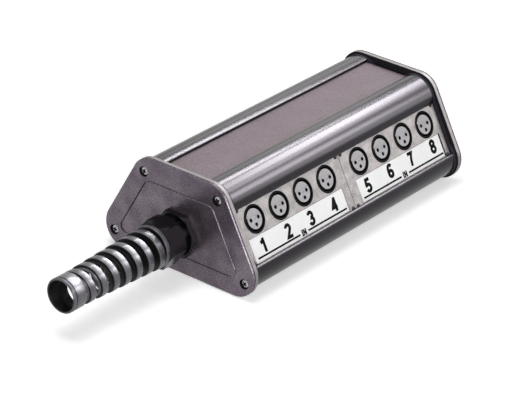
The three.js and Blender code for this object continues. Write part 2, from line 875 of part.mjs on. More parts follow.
function capNutBendGuard() {
  const back = plateau_face - gland_hex_length - gland_collar_length - fit;
  const front = back - nut_length;
  const seat = spigot_face - fit * 2 - slip_ring_thickness;
  const corner = cornerRadius(nut_hex);
  const hex_blank = turned([
    [front, 0],
    [front, corner - nut_chamfer],
    [front + nut_chamfer, corner],
    [back - nut_chamfer, corner],
    [back, corner - nut_chamfer],
    [back, 0],
  ], gland_steps);
  const hex = hexPrism(front, back, nut_hex).rotate([nut_turn_degrees, 0, 0]).intersect(hex_blank);
  const root = front - shoulder_length;
  const tip_ring = root - guard_spiral_length;
  const mouth = tip_ring - guard_ring_length;
  const outer_tip = guard_tip_outer / 2;
  const groove = mouth + guard_rim_length;
  const shoulder = rod(root, front + nut_chamfer, guard_root_outer, gland_steps);
  const end_ring = turned([
    [mouth, guard_mouth / 2],
    [mouth, outer_tip - guard_rim_round],
    [mouth + guard_rim_round, outer_tip],
    [groove, outer_tip],
    [groove, outer_tip - guard_rim_groove_depth],
    [groove + guard_rim_groove, outer_tip - guard_rim_groove_depth],
    [groove + guard_rim_groove, outer_tip],
    [tip_ring, outer_tip],
    [tip_ring, guard_bore / 2],
    [mouth, guard_mouth / 2],
  ], gland_steps);
  const throat_front = seat - nut_throat_length;
  const bore = turned([
    [root - cut_over, 0],
    [root - cut_over, guard_bore / 2],
    [root, guard_bore / 2],
    [throat_front, nut_throat / 2],
    [seat, nut_throat / 2],
    [seat, gland_spigot / 2 + fit],
    [back + cut_over, gland_spigot / 2 + fit],
    [back + cut_over, 0],
  ], gland_steps);
  const { band, rows } = guardBand(root);
  console.log(`bend guard: least gap between turns ${leastGap(rows).toFixed(2)} mm`);
  return { nut: hex.add(shoulder).subtract(bore).add(band).add(end_ring), mouth };
}

// The assembly
const stage_box = new THREE.Group();
stage_box.name = 'stage_box';

function place(parent, name, body, material, position = [0, 0, 0]) {
  const mesh = new THREE.Mesh(geometryOf(body), material);
  mesh.name = name;
  mesh.position.set(...position);
  parent.add(mesh);
  return mesh;
}

const { nut: cap_nut, mouth } = capNutBendGuard();
const box = new THREE.Group();
box.position.set(-(mouth + box_end + plateau_height) / 2, 0, 0);
stage_box.add(box);

function addBody() {
  const upper = upperRailSection();
  const lower = lowerRailSection();
  for (const [name, side] of [['left', 1], ['right', -1]]) {
    place(box, `rail_upper_${name}`, rail(upper, side, upper_screw_place), anodised);
    place(box, `rail_lower_${name}`, rail(lower, side, lower_screw_place), anodised);
  }
  place(box, 'top_panel', flatPanel(top_panel_half, top_face - top_panel_thickness, top_face), taupe_panel);
  place(box, 'bottom_panel',
    flatPanel(bottom_panel_half, bottom_face, bottom_face + bottom_panel_thickness), taupe_panel);
  const blank = new THREE.Group();
  blank.position.set(0, upper_centre[0], upper_centre[1]);
  blank.rotation.x = -side_slope;
  box.add(blank);
  place(blank, 'side_panel_left', block(
    [body_start, side_panel_upper, side_back], [body_end, side_panel_lower, side_face]), taupe_panel);
}

function addEnd(name, has_gland) {
  const end = new THREE.Group();
  if (!has_gland) {
    end.position.x = box_end;
    end.rotation.z = Math.PI;
  }
  box.add(end);
  place(end, `end_plate_${name}`, endPlate(has_gland), satin_plate);
  place(end, `end_gasket_${name}`, endGasket(), black_rubber, [cap_thickness, 0, 0]);
  const screw = capScrew();
  for (const [corner, y, z] of screw_places) {
    place(end, `end_screw_${name}_${corner}`, screw, bright_steel, [cap_counterbore_depth, y, z]);
  }
}

function addModules() {
  const slope = new THREE.Group();
  slope.position.set(0, -upper_centre[0], upper_centre[1]);
  slope.rotation.x = side_slope;
  box.add(slope);
  for (let index = 0; index < module_count; index += 1) {
    const group = new THREE.Group();
    group.position.x = body_start + index * module_length;
    slope.add(group);
    const number = index + 1;
    place(group, `socket_plate_${number}`, modulePlate(index), cast_zinc);
    place(group, `label_strip_${number}`, moduleLabel(index), white_label);
    place(group, `socket_carrier_${number}`, socketCarrier(index), black_plastic);
    const screw = moduleScrew();
    moduleScrewPlaces().forEach(([x, y], i) => {
      place(group, `plate_screw_${number}_${i + 1}`, screw, black_steel, [x, y, side_face]);
    });
    socketPlaces(index).forEach((x, i) => {
      const socket = index * sockets_per_module + i + 1;
      place(group, `socket_shell_${socket}`, socketShell(), black_plastic, [x, -socket_line, side_face]);
      place(group, `socket_insert_${socket}`, socketInsert(), grey_insert, [x, -socket_line, side_face]);
    });
  }
}

function addGland() {
  const gland = new THREE.Group();
  gland.position.z = gland_z;
  box.add(gland);
  place(gland, 'gland_body', glandBody(), black_plastic);
  place(gland, 'gland_locknut', locknut(), black_plastic);
  place(gland, 'gland_seal', glandSeal(), black_rubber);
  place(gland, 'gland_slip_ring', slipRing(), black_plastic);
  place(gland, 'cap_nut_bend_guard', cap_nut, black_plastic);
}

addBody();
addEnd('near', true);
addEnd('far', false);
addModules();
addGland();

export default stage_box;
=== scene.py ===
"""Looks of a stage box: rails, plates, sockets, labels and the gland with its bend guard."""

import logging
import math
from dataclasses import dataclass
from enum import Enum, IntEnum
from typing import Any, Callable, Dict, List, Optional, Sequence, Tuple

import bmesh
import bpy
from mathutils import Matrix, Vector


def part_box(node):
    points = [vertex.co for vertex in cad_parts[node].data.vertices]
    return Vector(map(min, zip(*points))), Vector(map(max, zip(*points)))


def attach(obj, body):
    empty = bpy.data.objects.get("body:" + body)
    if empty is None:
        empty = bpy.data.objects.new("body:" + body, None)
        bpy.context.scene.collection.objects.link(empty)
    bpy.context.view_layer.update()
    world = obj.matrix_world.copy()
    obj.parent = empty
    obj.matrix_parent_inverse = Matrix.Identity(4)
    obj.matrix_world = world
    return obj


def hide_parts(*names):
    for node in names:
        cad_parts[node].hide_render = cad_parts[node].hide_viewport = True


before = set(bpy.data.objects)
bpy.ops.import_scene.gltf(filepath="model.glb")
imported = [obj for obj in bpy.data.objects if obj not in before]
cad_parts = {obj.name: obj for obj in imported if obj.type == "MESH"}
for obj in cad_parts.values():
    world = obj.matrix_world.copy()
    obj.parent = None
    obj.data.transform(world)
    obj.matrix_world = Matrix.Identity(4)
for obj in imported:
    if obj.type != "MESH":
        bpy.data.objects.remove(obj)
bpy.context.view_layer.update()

logging.basicConfig(level=logging.INFO, format="%(message)s")
LOG = logging.getLogger("stage_box")

MM = 0.001
WELD = 1e-8  # points nearer than this, in metres, are one
OVERRUN = 1.0  # how far a cutter reaches past a face, in millimetres
FACING = 0.9  # a face looks along X from this share of its normal on
LEAST_MITRE = 0.5  # keeps the corners of a narrow band from growing spikes
FULL_WEIGHT = 100  # lets the large faces alone set the shading
STROKE_STEPS = 20  # how many pieces an arc of a numeral has
FULL_ROUND = 360
WHITE = (1.0, 1.0, 1.0, 1.0)
Point2 = Tuple[float, float]
Point3 = Tuple[float, float, float]
Rgb = Tuple[int, int, int]


class Body(Enum):
    """The rigid bodies that new pieces ride on."""

    BOX = "box"
    CAP_NUT = "cap_nut"


class Side(Enum):
    """The two long sides of the box, by the sign of Y."""

    LEFT = 1
    RIGHT = -1


class Grain(Enum):
    """How a finish's fine texture runs."""

    EVEN = (1.0, 1.0, 1.0)
    ALONG_X = (0.02, 1.0, 1.0)


class Crease(IntEnum):
    """The least angle in degrees of an edge that is shaded sharp."""

    HEXAGON = 19
    GUARD = 24
    RAIL = 25
    PLATE = 30
    PACKED = 32
    TURNED = 35
    WIRE = 60


class Round(IntEnum):
    """How many faces go round a turned piece or a hole."""

    WIRE = 12
    SLEEVE = 24
    SMALL = 32
    SCREW = 40
    SEAT = 48
    HOLE = 64
    BARREL = 72
    FINE = 96


# Finishes

NOISE_LOW, NOISE_HIGH = 0.3, 0.7  # the part of a noise's range that is used
PATCH_DETAIL, GRAIN_DETAIL = 4.0, 2.0
LEAST_ROUGHNESS = 0.03


def linear(value: float) -> float:
    """Returns a written 0 to 255 colour share as linear light."""
    share = value / 255
    return share / 12.92 if share <= 0.04045 else ((share + 0.055) / 1.055) ** 2.4


def set_inputs(node: bpy.types.Node, values: Dict[str, Any]) -> bpy.types.Node:
    """Sets some inputs of a node.

    Args:
        node: The node.
        values: What its inputs are set to, by their names.

    Returns:
        The same node.
    """
    for name, value in values.items():
        node.inputs[name].default_value = value
    return node


def add_node(
    tree: bpy.types.NodeTree, kind: str, values: Optional[Dict[str, Any]] = None
) -> bpy.types.Node:
    """Adds a node to a tree.

    Args:
        tree: The material's or the world's node tree.
        kind: The node's type.
        values: What its inputs are set to, by their names.

    Returns:
        The node.
    """
    return set_inputs(tree.nodes.new(kind), values or {})


def new_material(name: str, values: Dict[str, Any]) -> Tuple[bpy.types.Material, bpy.types.Node]:
    """Makes a node material.

    Args:
        name: Its name.
        values: What its shader's inputs are set to, by their names.

    Returns:
        The material and its shader.
    """
    material = bpy.data.materials.new(name)
    material.use_nodes = True
    return material, set_inputs(material.node_tree.nodes["Principled BSDF"], values)


@dataclass(frozen=True)
class Finish:
    """A finish of one material, with the fine texture that the real one has."""

    name: str
    slot: str
    colour: Rgb
    second: Rgb
    roughness: float = 0.5
    roughness_spread: float = 0.08
    metallic: float = 0.0
    specular: float = 0.5
    patch_size: float = 9.0
    grain_size: float = 0.35
    grain_height: float = 0.01
    grain: Grain = Grain.EVEN
    speckle: float = 0.0

    def material(self) -> bpy.types.Material:
        """Returns the finish as a node material, made once."""
        found = bpy.data.materials.get(self.name)
        return found if found is not None else self._build()

    def _build(self) -> bpy.types.Material:
        """Makes a new node material of this finish.

        Returns:
            The material.
        """
        gloss = {"Metallic": self.metallic, "Specular IOR Level": self.specular}
        material, shader = new_material(self.name, gloss)
        tree = material.node_tree
        where = add_node(tree, "ShaderNodeTexCoord")
        stretch = add_node(tree, "ShaderNodeMapping", {"Scale": self.grain.value})
        tree.links.new(where.outputs["Object"], stretch.inputs["Vector"])
        patches = self._noise(tree, stretch, self.patch_size, PATCH_DETAIL)
        grain = self._noise(tree, stretch, self.grain_size, GRAIN_DETAIL)
        self._link_colour(tree, patches, grain, shader)
        self._link_roughness(tree, grain, shader)
        height = {"Distance": self.grain_height * MM, "Strength": 1.0}
        bump = add_node(tree, "ShaderNodeBump", height)
        tree.links.new(grain.outputs["Fac"], bump.inputs["Height"])
        tree.links.new(bump.outputs["Normal"], shader.inputs["Normal"])
        return material

    @staticmethod
    def _noise(
        tree: bpy.types.NodeTree, vector: bpy.types.Node, size: float, detail: float
    ) -> bpy.types.Node:
        """Adds a noise texture.

        Args:
            tree: The material's node tree.
            vector: The node whose vector it reads.
            size: The size of its grains in millimetres.
            detail: How many finer layers it has.

        Returns:
            The noise node.
        """
        noise = add_node(tree, "ShaderNodeTexNoise", {"Scale": 1 / (size * MM), "Detail": detail})
        tree.links.new(vector.outputs["Vector"], noise.inputs["Vector"])
        return noise

    def _link_colour(
        self,
        tree: bpy.types.NodeTree,
        patches: bpy.types.Node,
        grain: bpy.types.Node,
        shader: bpy.types.Node,
    ) -> None:
        """Mixes the two colours by patches and adds speckle.

        Args:
            tree: The material's node tree.
            patches: The coarse noise.
            grain: The fine noise.
            shader: The shader that takes the colour.
        """
        ramp = add_node(tree, "ShaderNodeValToRGB")
        stops = zip(ramp.color_ramp.elements, (NOISE_LOW, NOISE_HIGH), (self.colour, self.second))
        for element, position, colour in stops:
            element.position = position
            element.color = (*[linear(part) for part in colour], 1.0)
        tree.links.new(patches.outputs["Fac"], ramp.inputs["Fac"])
        if self.speckle <= 0:
            tree.links.new(ramp.outputs["Color"], shader.inputs["Base Color"])
            return
        shares = {"From Min": NOISE_LOW, "From Max": NOISE_HIGH}
        shares.update({"To Min": 1 - self.speckle, "To Max": 1 + self.speckle})
        spots = add_node(tree, "ShaderNodeMapRange", shares)
        tree.links.new(grain.outputs["Fac"], spots.inputs["Value"])
        tint = add_node(tree, "ShaderNodeVectorMath")
        tint.operation = "SCALE"
        tree.links.new(ramp.outputs["Color"], tint.inputs[0])
        tree.links.new(spots.outputs["Result"], tint.inputs["Scale"])
        tree.links.new(tint.outputs["Vector"], shader.inputs["Base Color"])

    def _link_roughness(
        self, tree: bpy.types.NodeTree, grain: bpy.types.Node, shader: bpy.types.Node
    ) -> None:
        """Varies the roughness with the grain.

        Args:
            tree: The material's node tree.
            grain: The fine noise.
            shader: The shader that takes the roughness.
        """
        least = max(self.roughness - self.roughness_spread, LEAST_ROUGHNESS)
        most = min(self.roughness + self.roughness_spread, 1.0)
        spread = add_node(tree, "ShaderNodeMapRange", {"To Min": least, "To Max": most})
        tree.links.new(grain.outputs["Fac"], spread.inputs["Value"])
        tree.links.new(spread.outputs["Result"], shader.inputs["Roughness"])


RAIL_ANODISED = Finish(
    "rail_anodised", "anodised_rail", (40, 38, 41), (44, 42, 45),
    roughness=0.24, roughness_spread=0.01, metallic=1.0, patch_size=30, grain_size=0.15,
    grain_height=0.0001, grain=Grain.ALONG_X,
)
PANEL_TAUPE = Finish(
    "panel_taupe", "taupe_panel", (117, 100, 107), (127, 111, 119),
    roughness=0.62, roughness_spread=0.08, specular=0.35, patch_size=25, grain_size=0.9,
    grain_height=0.03, speckle=0.3,
)
PLATE_SATIN = Finish(
    "plate_satin", "satin_end_plate", (91, 81, 93), (117, 108, 115),
    roughness=0.28, roughness_spread=0.06, metallic=0.75, specular=0.4, patch_size=14,
    grain_size=0.85, grain_height=0.01, speckle=0.42,
)
# painted highlight: the plate's rim behind the edge groove is painted lighter, as where light
# from above catches it
PLATE_RIM_HIGHLIGHT = Finish(
    "plate_rim_painted_highlight", "satin_end_plate", (120, 115, 116), (134, 129, 129),
    roughness=0.5, roughness_spread=0.06, metallic=0.2, specular=0.4, patch_size=9,
    grain_size=0.6, grain_height=0.008, speckle=0.15,
)
GASKET_BLACK = Finish(
    "gasket_black", "black_gasket", (27, 23, 33), (34, 29, 40),
    roughness=0.75, specular=0.25, grain_size=0.6, grain_height=0.02,
)
# painted shade: the edge groove, the screw seats, the plate's inner side and the raised field's
# walls and fine line are painted near black
PLATE_SHADE = Finish(
    "plate_painted_shade", "satin_end_plate", (14, 11, 17), (20, 17, 24),
    roughness=0.7, specular=0.2, patch_size=5, grain_size=0.4, grain_height=0.01,
)
SCREW_BRIGHT = Finish(
    "screw_bright", "bright_screw", (168, 166, 170), (150, 148, 153),
    roughness=0.2, roughness_spread=0.06, metallic=1.0, patch_size=2, grain_size=0.1,
    grain_height=0.004,
)
# painted shade inside the end screws' cross recesses
RECESS_SHADE = Finish(
    "recess_painted_shade", "bright_screw", (16, 15, 18), (24, 22, 26),
    roughness=0.6, metallic=0.4, specular=0.2, patch_size=2, grain_size=0.2, grain_height=0.004,
)
SOCKET_PLATE_CAST = Finish(
    "socket_plate_cast", "cast_socket_plate", (126, 120, 119), (166, 160, 160),
    roughness=0.55, roughness_spread=0.1, metallic=0.15, specular=0.4, patch_size=7,
    grain_size=0.9, grain_height=0.02, speckle=0.22,
)
LABEL_WHITE = Finish(
    "label_white", "white_label", (238, 239, 238), (242, 242, 242),
    roughness=0.42, roughness_spread=0.05, specular=0.4, patch_size=15, grain_size=0.4,
    grain_height=0.004,
)
LABEL_INK = Finish(
    "label_ink", "white_label", (6, 6, 7), (9, 9, 10),
    roughness=0.75, specular=0.05, patch_size=4, grain_size=0.3, grain_height=0.003,
)
# painted shade in the socket plate's label pocket, seats and holes
POCKET_SHADE = Finish(
    "pocket_painted_shade", "cast_socket_plate", (14, 13, 15), (20, 18, 20),
    roughness=0.8, specular=0.1, patch_size=4, grain_size=0.4, grain_height=0.01,
)
SCREW_BLACK = Finish(
    "screw_black", "black_screw", (24, 22, 26), (34, 31, 36),
    roughness=0.38, metallic=0.6, patch_size=2, grain_size=0.15, grain_height=0.006,
)
SHELL_BLACK = Finish(
    "shell_black", "black_socket_shell", (3, 3, 4), (6, 6, 7),
    roughness=0.6, specular=0.05, patch_size=6, grain_size=0.3, grain_height=0.006,
)
# painted highlight: a thin light ring stands for the lit edge of each socket's flange seat
SEAT_EDGE_HIGHLIGHT = Finish(
    "seat_edge_painted_highlight", "black_socket_shell", (206, 203, 202), (196, 193, 193),
    roughness=0.5, patch_size=4, grain_size=0.2, grain_height=0.004,
)
INSERT_GREY = Finish(
    "insert_grey", "grey_insert", (172, 169, 172), (180, 177, 180),
    roughness=0.6, specular=0.35, patch_size=5, grain_size=0.35, grain_height=0.012,
    speckle=0.05,
)
CONTACT_SLEEVE = Finish(
    "contact_sleeve", "grey_insert", (92, 84, 74), (70, 66, 60),
    roughness=0.35, metallic=0.9, patch_size=2, grain_size=0.2, grain_height=0.004,
)
CARRIER_BLACK = Finish(
    "carrier_black", "black_carrier", (24, 22, 26), (30, 28, 33),
    roughness=0.6, patch_size=8, grain_size=0.4, grain_height=0.01,
)
# painted shade on the insert's walls, rounded edge, outer edge and hole floors
INSERT_SHADE = Finish(
    "insert_painted_shade", "grey_insert", (12, 11, 13), (18, 16, 19),
    roughness=0.7, specular=0.15, patch_size=5, grain_size=0.4, grain_height=0.01,
)
GLAND_BLACK = Finish(
    "gland_black", "black_gland", (6, 5, 9), (9, 8, 12),
    roughness=0.2, roughness_spread=0.04, specular=0.2,
    patch_size=6, grain_size=0.25, grain_height=0.006,
)
# painted sheen: the guard's black plastic has a lighter grey, part-metallic base so that it looks
# silvery; its inward faces take the shade below
GUARD_SHEEN = Finish(
    "guard_painted_sheen", "black_gland", (78, 76, 81), (91, 89, 94),
    roughness=0.3, roughness_spread=0.03, metallic=0.55, specular=0.5,
    patch_size=6, grain_size=0.25, grain_height=0.0015,
)
# painted shade: the guard's faces toward its axis and into the spiral's gaps are painted near
# black
GUARD_INSIDE_SHADE = Finish(
    "guard_inside_painted_shade", "black_gland", (8, 7, 9), (12, 11, 13),
    roughness=0.45, specular=0.25, patch_size=6, grain_size=0.3, grain_height=0.006,
)
SEAL_RUBBER = Finish(
    "seal_rubber", "gland_seal_rubber", (38, 34, 40), (48, 44, 50),
    roughness=0.8, specular=0.25, patch_size=5, grain_size=0.4, grain_height=0.01,
)


# Mesh tools, in millimetres


def linked(name: str, data: bpy.types.ID) -> bpy.types.Object:
    """Makes an object of a mesh, lamp or camera in the scene.

    Args:
        name: Its name.
        data: What it is an object of.

    Returns:
        The object.
    """
    made = bpy.data.objects.new(name, data)
    bpy.context.scene.collection.objects.link(made)
    return made


def new_piece(
    name: str, points: Sequence[Sequence[float]], faces: Sequence[Sequence[int]], place: Matrix
) -> bpy.types.Object:
    """Makes a mesh object from points in millimetres.

    Args:
        name: The piece's name.
        points: The corners, in the piece's own axes.
        faces: The faces, as rows of corner numbers.
        place: The transform into the row frame, in millimetres.

    Returns:
        The linked object, with normals that face out.
    """
    mesh = bpy.data.meshes.new(name)
    scale = Matrix.Scale(MM, 4)
    mesh.from_pydata([tuple(scale @ (place @ Vector(p))) for p in points], [], faces)
    tidy = bmesh.new()
    tidy.from_mesh(mesh)
    bmesh.ops.remove_doubles(tidy, verts=tidy.verts, dist=WELD)
    bmesh.ops.recalc_face_normals(tidy, faces=tidy.faces)
    tidy.to_mesh(mesh)
    tidy.free()
    return linked(name, mesh)


def baked(piece: bpy.types.Object) -> bpy.types.Object:
    """Applies a piece's modifiers.

    Args:
        piece: The object with modifiers.

    Returns:
        The same object, with its evaluated mesh and no modifiers.
    """
    depsgraph = bpy.context.evaluated_depsgraph_get()
    mesh = bpy.data.meshes.new_from_object(piece.evaluated_get(depsgraph))
    piece.modifiers.clear()
    piece.data = mesh
    return piece


def joined(
    piece: bpy.types.Object, others: Sequence[bpy.types.Object], operation: str
) -> bpy.types.Object:
    """Combines a piece with others and removes them.

    Args:
        piece: The object that is kept.
        others: The objects that it is combined with.
        operation: DIFFERENCE, UNION or INTERSECT.

    Returns:
        The kept object.
    """
    for other in others:
        modifier = piece.modifiers.new("combine", "BOOLEAN")
        modifier.operation = operation
        modifier.solver = "EXACT"
        modifier.object = other
    baked(piece)
    for other in others:
        bpy.data.objects.remove(other)
    return piece


def softened(
    piece: bpy.types.Object, width: float, segments: int = 2, degrees: float = 50
) -> bpy.types.Object:
    """Rounds a piece's sharp edges.

    Args:
        piece: The object.
        width: The rounding's width in millimetres.
        segments: How many faces each rounding has.
        degrees: The least angle of an edge that is rounded.

    Returns:
        The same object.
    """
    modifier = piece.modifiers.new("soften", "BEVEL")
    modifier.width = width * MM
    modifier.segments = segments
    modifier.limit_method = "ANGLE"
    modifier.angle_limit = math.radians(degrees)
    return baked(piece)


def smooth(piece: bpy.types.Object, crease: Crease) -> None:
    """Shades a piece smooth except across its creases."""
    piece.data.shade_smooth()
    piece.data.set_sharp_from_angle(angle=math.radians(crease))


def flat_faced(piece: bpy.types.Object) -> None:
    """Bends the shading of roundings only, so that large faces look flat.

    Args:
        piece: The object, already shaded smooth.
    """
    modifier = piece.modifiers.new("flat_faces", "WEIGHTED_NORMAL")
    modifier.keep_sharp = True
    modifier.weight = FULL_WEIGHT
    baked(piece)


def dressed(
    piece: bpy.types.Object,
    finish: Finish,
    body: Body,
    replaces: Sequence[str],
    crease: Crease,
    flat: bool = True,
) -> None:
    """Gives a piece its finish, its body and the nodes that it stands for.

    Args:
        piece: The object.
        finish: Its finish.
        body: The body that it rides on.
        replaces: The nodes that it stands for.
        crease: Which edges are shaded sharp.
        flat: Whether its large faces are shaded flat.
    """
    smooth(piece, crease)
    if flat:
        flat_faced(piece)
    piece.data.materials.clear()
    piece.data.materials.append(finish.material())
    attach(piece, body.value)
    if replaces:
        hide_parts(*replaces)
    LOG.info("%s: %d faces", piece.name, len(piece.data.polygons))


def repainted(
    piece: bpy.types.Object, finish: Finish, chosen: Callable[[bpy.types.MeshPolygon], bool]
) -> None:
    """Gives chosen faces of a dressed piece a second finish.

    Args:
        piece: The object.
        finish: The second finish.
        chosen: Says whether a face takes it.
    """
    piece.data.materials.append(finish.material())
    last = len(piece.data.materials) - 1
    for face in piece.data.polygons:
        if chosen(face):
            face.material_index = last


def kept(node: str, finish: Finish) -> None:
    """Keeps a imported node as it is, with a finish and smooth shading.

    Args:
        node: The node's name.
        finish: Its finish.
    """
    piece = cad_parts[node]
    smooth(piece, Crease.PACKED)
    piece.data.materials.clear()
    piece.data.materials.append(finish.material())
    LOG.info("%s: kept", node)


def moved(place: Matrix, x: float, y: float, z: float) -> Matrix:
    """Returns a frame that is moved along its own axes, in millimetres."""
    return place @ Matrix.Translation((x, y, z))


def within(face: bpy.types.MeshPolygon, place: Matrix) -> Tuple[Vector, Vector]:
    """Gives a face in the axes of a frame.

    Args:
        face: The face.
        place: The frame, in millimetres.

    Returns:
        Its centre in millimetres and its normal.
    """
    into = place.inverted()
    return into @ (face.center / MM), into.to_3x3() @ face.normal


def turned(
    name: str, profile: Sequence[Point2], steps: int, place: Matrix
) -> bpy.types.Object:
    """Turns a profile of (along, radius) about X.

    Args:
        name: The piece's name.
        profile: The profile. It starts and ends on the axis, or closes on itself.
        steps: How many faces go round.
        place: The transform into the row frame, in millimetres.

    Returns:
        The piece.
    """
    rows = list(profile[:-1]) if profile[0] == profile[-1] else list(profile)
    closed = profile[0] == profile[-1]
    points, faces = [], []
    for along, radius in rows:
        for i in range(steps):
            turn = math.tau * i / steps
            points.append((along, radius * math.cos(turn), radius * math.sin(turn)))
    count = len(rows)
    for row in range(count if closed else count - 1):
        after = (row + 1) % count
        for i in range(steps):
            j = (i + 1) % steps
            faces.append((row * steps + i, row * steps + j, after * steps + j, after * steps + i))
    return new_piece(name, points, faces, place)


def drawn_out(
    name: str, outline: Sequence[Point2], start: float, end: float, place: Matrix
) -> bpy.types.Object:
    """Draws a flat outline in Y and Z out along X.

    Args:
        name: The piece's name.
        outline: The outline's corners.
        start: Where it starts along X.
        end: Where it ends along X.
        place: The transform into the row frame, in millimetres.

    Returns:
        The piece.
    """
    count = len(outline)
    points = [(x, y, z) for x in (start, end) for y, z in outline]
    faces = [tuple(range(count)), tuple(range(2 * count - 1, count - 1, -1))]
    for i in range(count):
        j = (i + 1) % count
        faces.append((i, j, count + j, count + i))
    return new_piece(name, points, faces, place)


def skinned(
    name: str, levels: Sequence[Tuple[float, Sequence[Point2]]], place: Matrix
) -> bpy.types.Object:
    """Skins outlines of the same count at several places along X.

    Args:
        name: The piece's name.
        levels: Rows of (place along X, outline).
        place: The transform into the row frame, in millimetres.

    Returns:
        The piece.
    """
    count = len(levels[0][1])
    points = [(x, y, z) for x, outline in levels for y, z in outline]
    faces = [tuple(range(count))]
    for level in range(len(levels) - 1):
        for i in range(count):
            j = (i + 1) % count
            low, high = level * count, (level + 1) * count
            faces.append((low + i, low + j, high + j, high + i))
    last = (len(levels) - 1) * count
    faces.append(tuple(range(last + count - 1, last - 1, -1)))
    return new_piece(name, points, faces, place)


def block(
    name: str, low: Sequence[float], high: Sequence[float], place: Matrix
) -> bpy.types.Object:
    """Makes a block between two corners, as a cutter or before its edges are rounded.

    Args:
        name: The piece's name.
        low: Its least corner.
        high: Its greatest corner.
        place: The transform into the row frame, in millimetres.

    Returns:
        The piece.
    """
    outline = [(low[1], low[2]), (high[1], low[2]), (high[1], high[2]), (low[1], high[2])]
    return drawn_out(name, outline, low[0], high[0], place)


def rod(
    name: str, start: float, end: float, diameter: float, steps: int, place: Matrix
) -> bpy.types.Object:
    """Makes a rod along X, as a cutter.

    Args:
        name: The piece's name.
        start: Where it starts along X.
        end: Where it ends along X.
        diameter: Its diameter.
        steps: How many faces go round.
        place: The transform into the row frame, in millimetres.

    Returns:
        The piece.
    """
    radius = diameter / 2
    return turned(name, [(start, 0), (start, radius), (end, radius), (end, 0)], steps, place)


def arc(centre: Point2, radius: float, start: float, end: float, steps: int) -> List[Point2]:
    """Draws an arc.

    Args:
        centre: The arc's centre.
        radius: The arc's radius.
        start: The first angle.
        end: The last angle.
        steps: How many pieces it has.

    Returns:
        The points, both ends among them.
    """
    turns = [start + (end - start) * i / steps for i in range(steps + 1)]
    return [(centre[0] + radius * math.cos(t), centre[1] + radius * math.sin(t)) for t in turns]


def rounding(size: float, steps: int) -> List[Point2]:
    """Draws a rounded edge, from its face to its side.

    Args:
        size: The rounding's radius.
        steps: How many pieces it has.

    Returns:
        Rows of (depth below the face, inset from the side).
    """
    turns = [math.pi / 2 * i / steps for i in range(steps + 1)]
    return [(size * (1 - math.cos(turn)), size * (1 - math.sin(turn))) for turn in turns]


def hexagon_corner(across_flats: float) -> float:
    """Returns the reach of a hexagon's corners."""
    return across_flats / 2 / math.cos(math.pi / 6)


def hexagon(across_flats: float, turn_degrees: float = 0.0) -> List[Point2]:
    """Gives a hexagon's outline.

    Args:
        across_flats: Its width across flats.
        turn_degrees: How far it is turned from a corner on Y.

    Returns:
        The six corners.
    """
    corner = hexagon_corner(across_flats)
    start = math.radians(turn_degrees)
    return [
        (corner * math.cos(start + math.pi / 3 * i), corner * math.sin(start + math.pi / 3 * i))
        for i in range(6)
    ]


def banded(
    path: Sequence[Point2], weight: float, depth: float
) -> Tuple[List[Point3], List[Tuple[int, ...]]]:
    """Draws a flat band of even weight along a path.

    Args:
        path: The band's middle line. It closes where its ends are the same.
        weight: The band's width.
        depth: Half of its thickness.

    Returns:
        The corners and the faces.
    """
    closed = path[0] == path[-1]
    spots = [Vector(p) for p in (path[:-1] if closed else path)]
    count = len(spots)
    points, faces = [], []
    for i, here in enumerate(spots):
        into = here - spots[i - 1] if i or closed else spots[1] - here
        away = spots[(i + 1) % count] - here if closed or i + 1 < count else into
        into, away = into.normalized(), away.normalized()
        along = (into + away).normalized()
        reach = weight / 2 / max(along.dot(into), LEAST_MITRE)
        aside = Vector((-along.y, along.x)) * reach
        for edge in (here + aside, here - aside):
            points += [(edge.x, edge.y, depth), (edge.x, edge.y, -depth)]
    for i in range(count if closed else count - 1):
        a, b = 4 * i, 4 * ((i + 1) % count)
        faces += [(a, a + 2, b + 2, b), (a + 1, b + 1, b + 3, a + 3)]
        faces += [(a, b, b + 1, a + 1), (a + 2, a + 3, b + 3, b + 2)]
    if not closed:
        last = 4 * count - 4
        faces += [(0, 1, 3, 2), (last, last + 2, last + 3, last + 1)]
    return points, faces


def bow(centre: Point2, radius: float, start: float, end: float) -> List[Point2]:
    """Draws the arc of a numeral.

    Args:
        centre: Its centre.
        radius: Its radius.
        start: Its first angle in degrees.
        end: Its last angle in degrees.

    Returns:
        The points. A whole round closes on its first one.
    """
    points = arc(centre, radius, math.radians(start), math.radians(end), STROKE_STEPS)
    if abs(end - start) >= FULL_ROUND:
        points[-1] = points[0]
    return points


# The strokes of the plain numerals and letters, in a box of height 1
STROKES: Dict[str, List[List[Point2]]] = {
    "1": [[(0.3, 0.0), (0.3, 1.0)], [(0.3, 0.88), (0.16, 0.76), (0.0, 0.72)]],
    "2": [[*bow((0.3, 0.7), 0.215, 170, -35), (0.1, 0.085), (0.6, 0.085)]],
    "3": [[*bow((0.28, 0.71), 0.205, 165, -75), *bow((0.28, 0.305), 0.22, 75, -165)]],
    "4": [[(0.44, 0.0), (0.44, 1.0)], [(0.42, 0.93), (0.09, 0.31), (0.6, 0.31)]],
    "5": [[(0.55, 0.915), (0.17, 0.915), (0.12, 0.52), *bow((0.29, 0.32), 0.235, 125, -155)]],
    "6": [
        bow((0.3, 0.3), 0.215, 0, 360),
        [
            (0.51, 0.79), (0.44, 0.88), (0.32, 0.915), (0.19, 0.86), (0.11, 0.7),
            (0.085, 0.5), (0.085, 0.3),
        ],
    ],
    "7": [[(0.04, 0.915), (0.52, 0.915), (0.34, 0.55), (0.25, 0.0)]],
    "8": [bow((0.3, 0.715), 0.195, 0, 360), bow((0.3, 0.3), 0.22, 0, 360)],
    "I": [[(0.085, 0.0), (0.085, 1.0)]],
    "N": [[(0.4, 0.0), (0.4, 1.0)], [(0.87, 0.0), (0.87, 1.0)], [(0.4, 0.93), (0.87, 0.07)]],
}

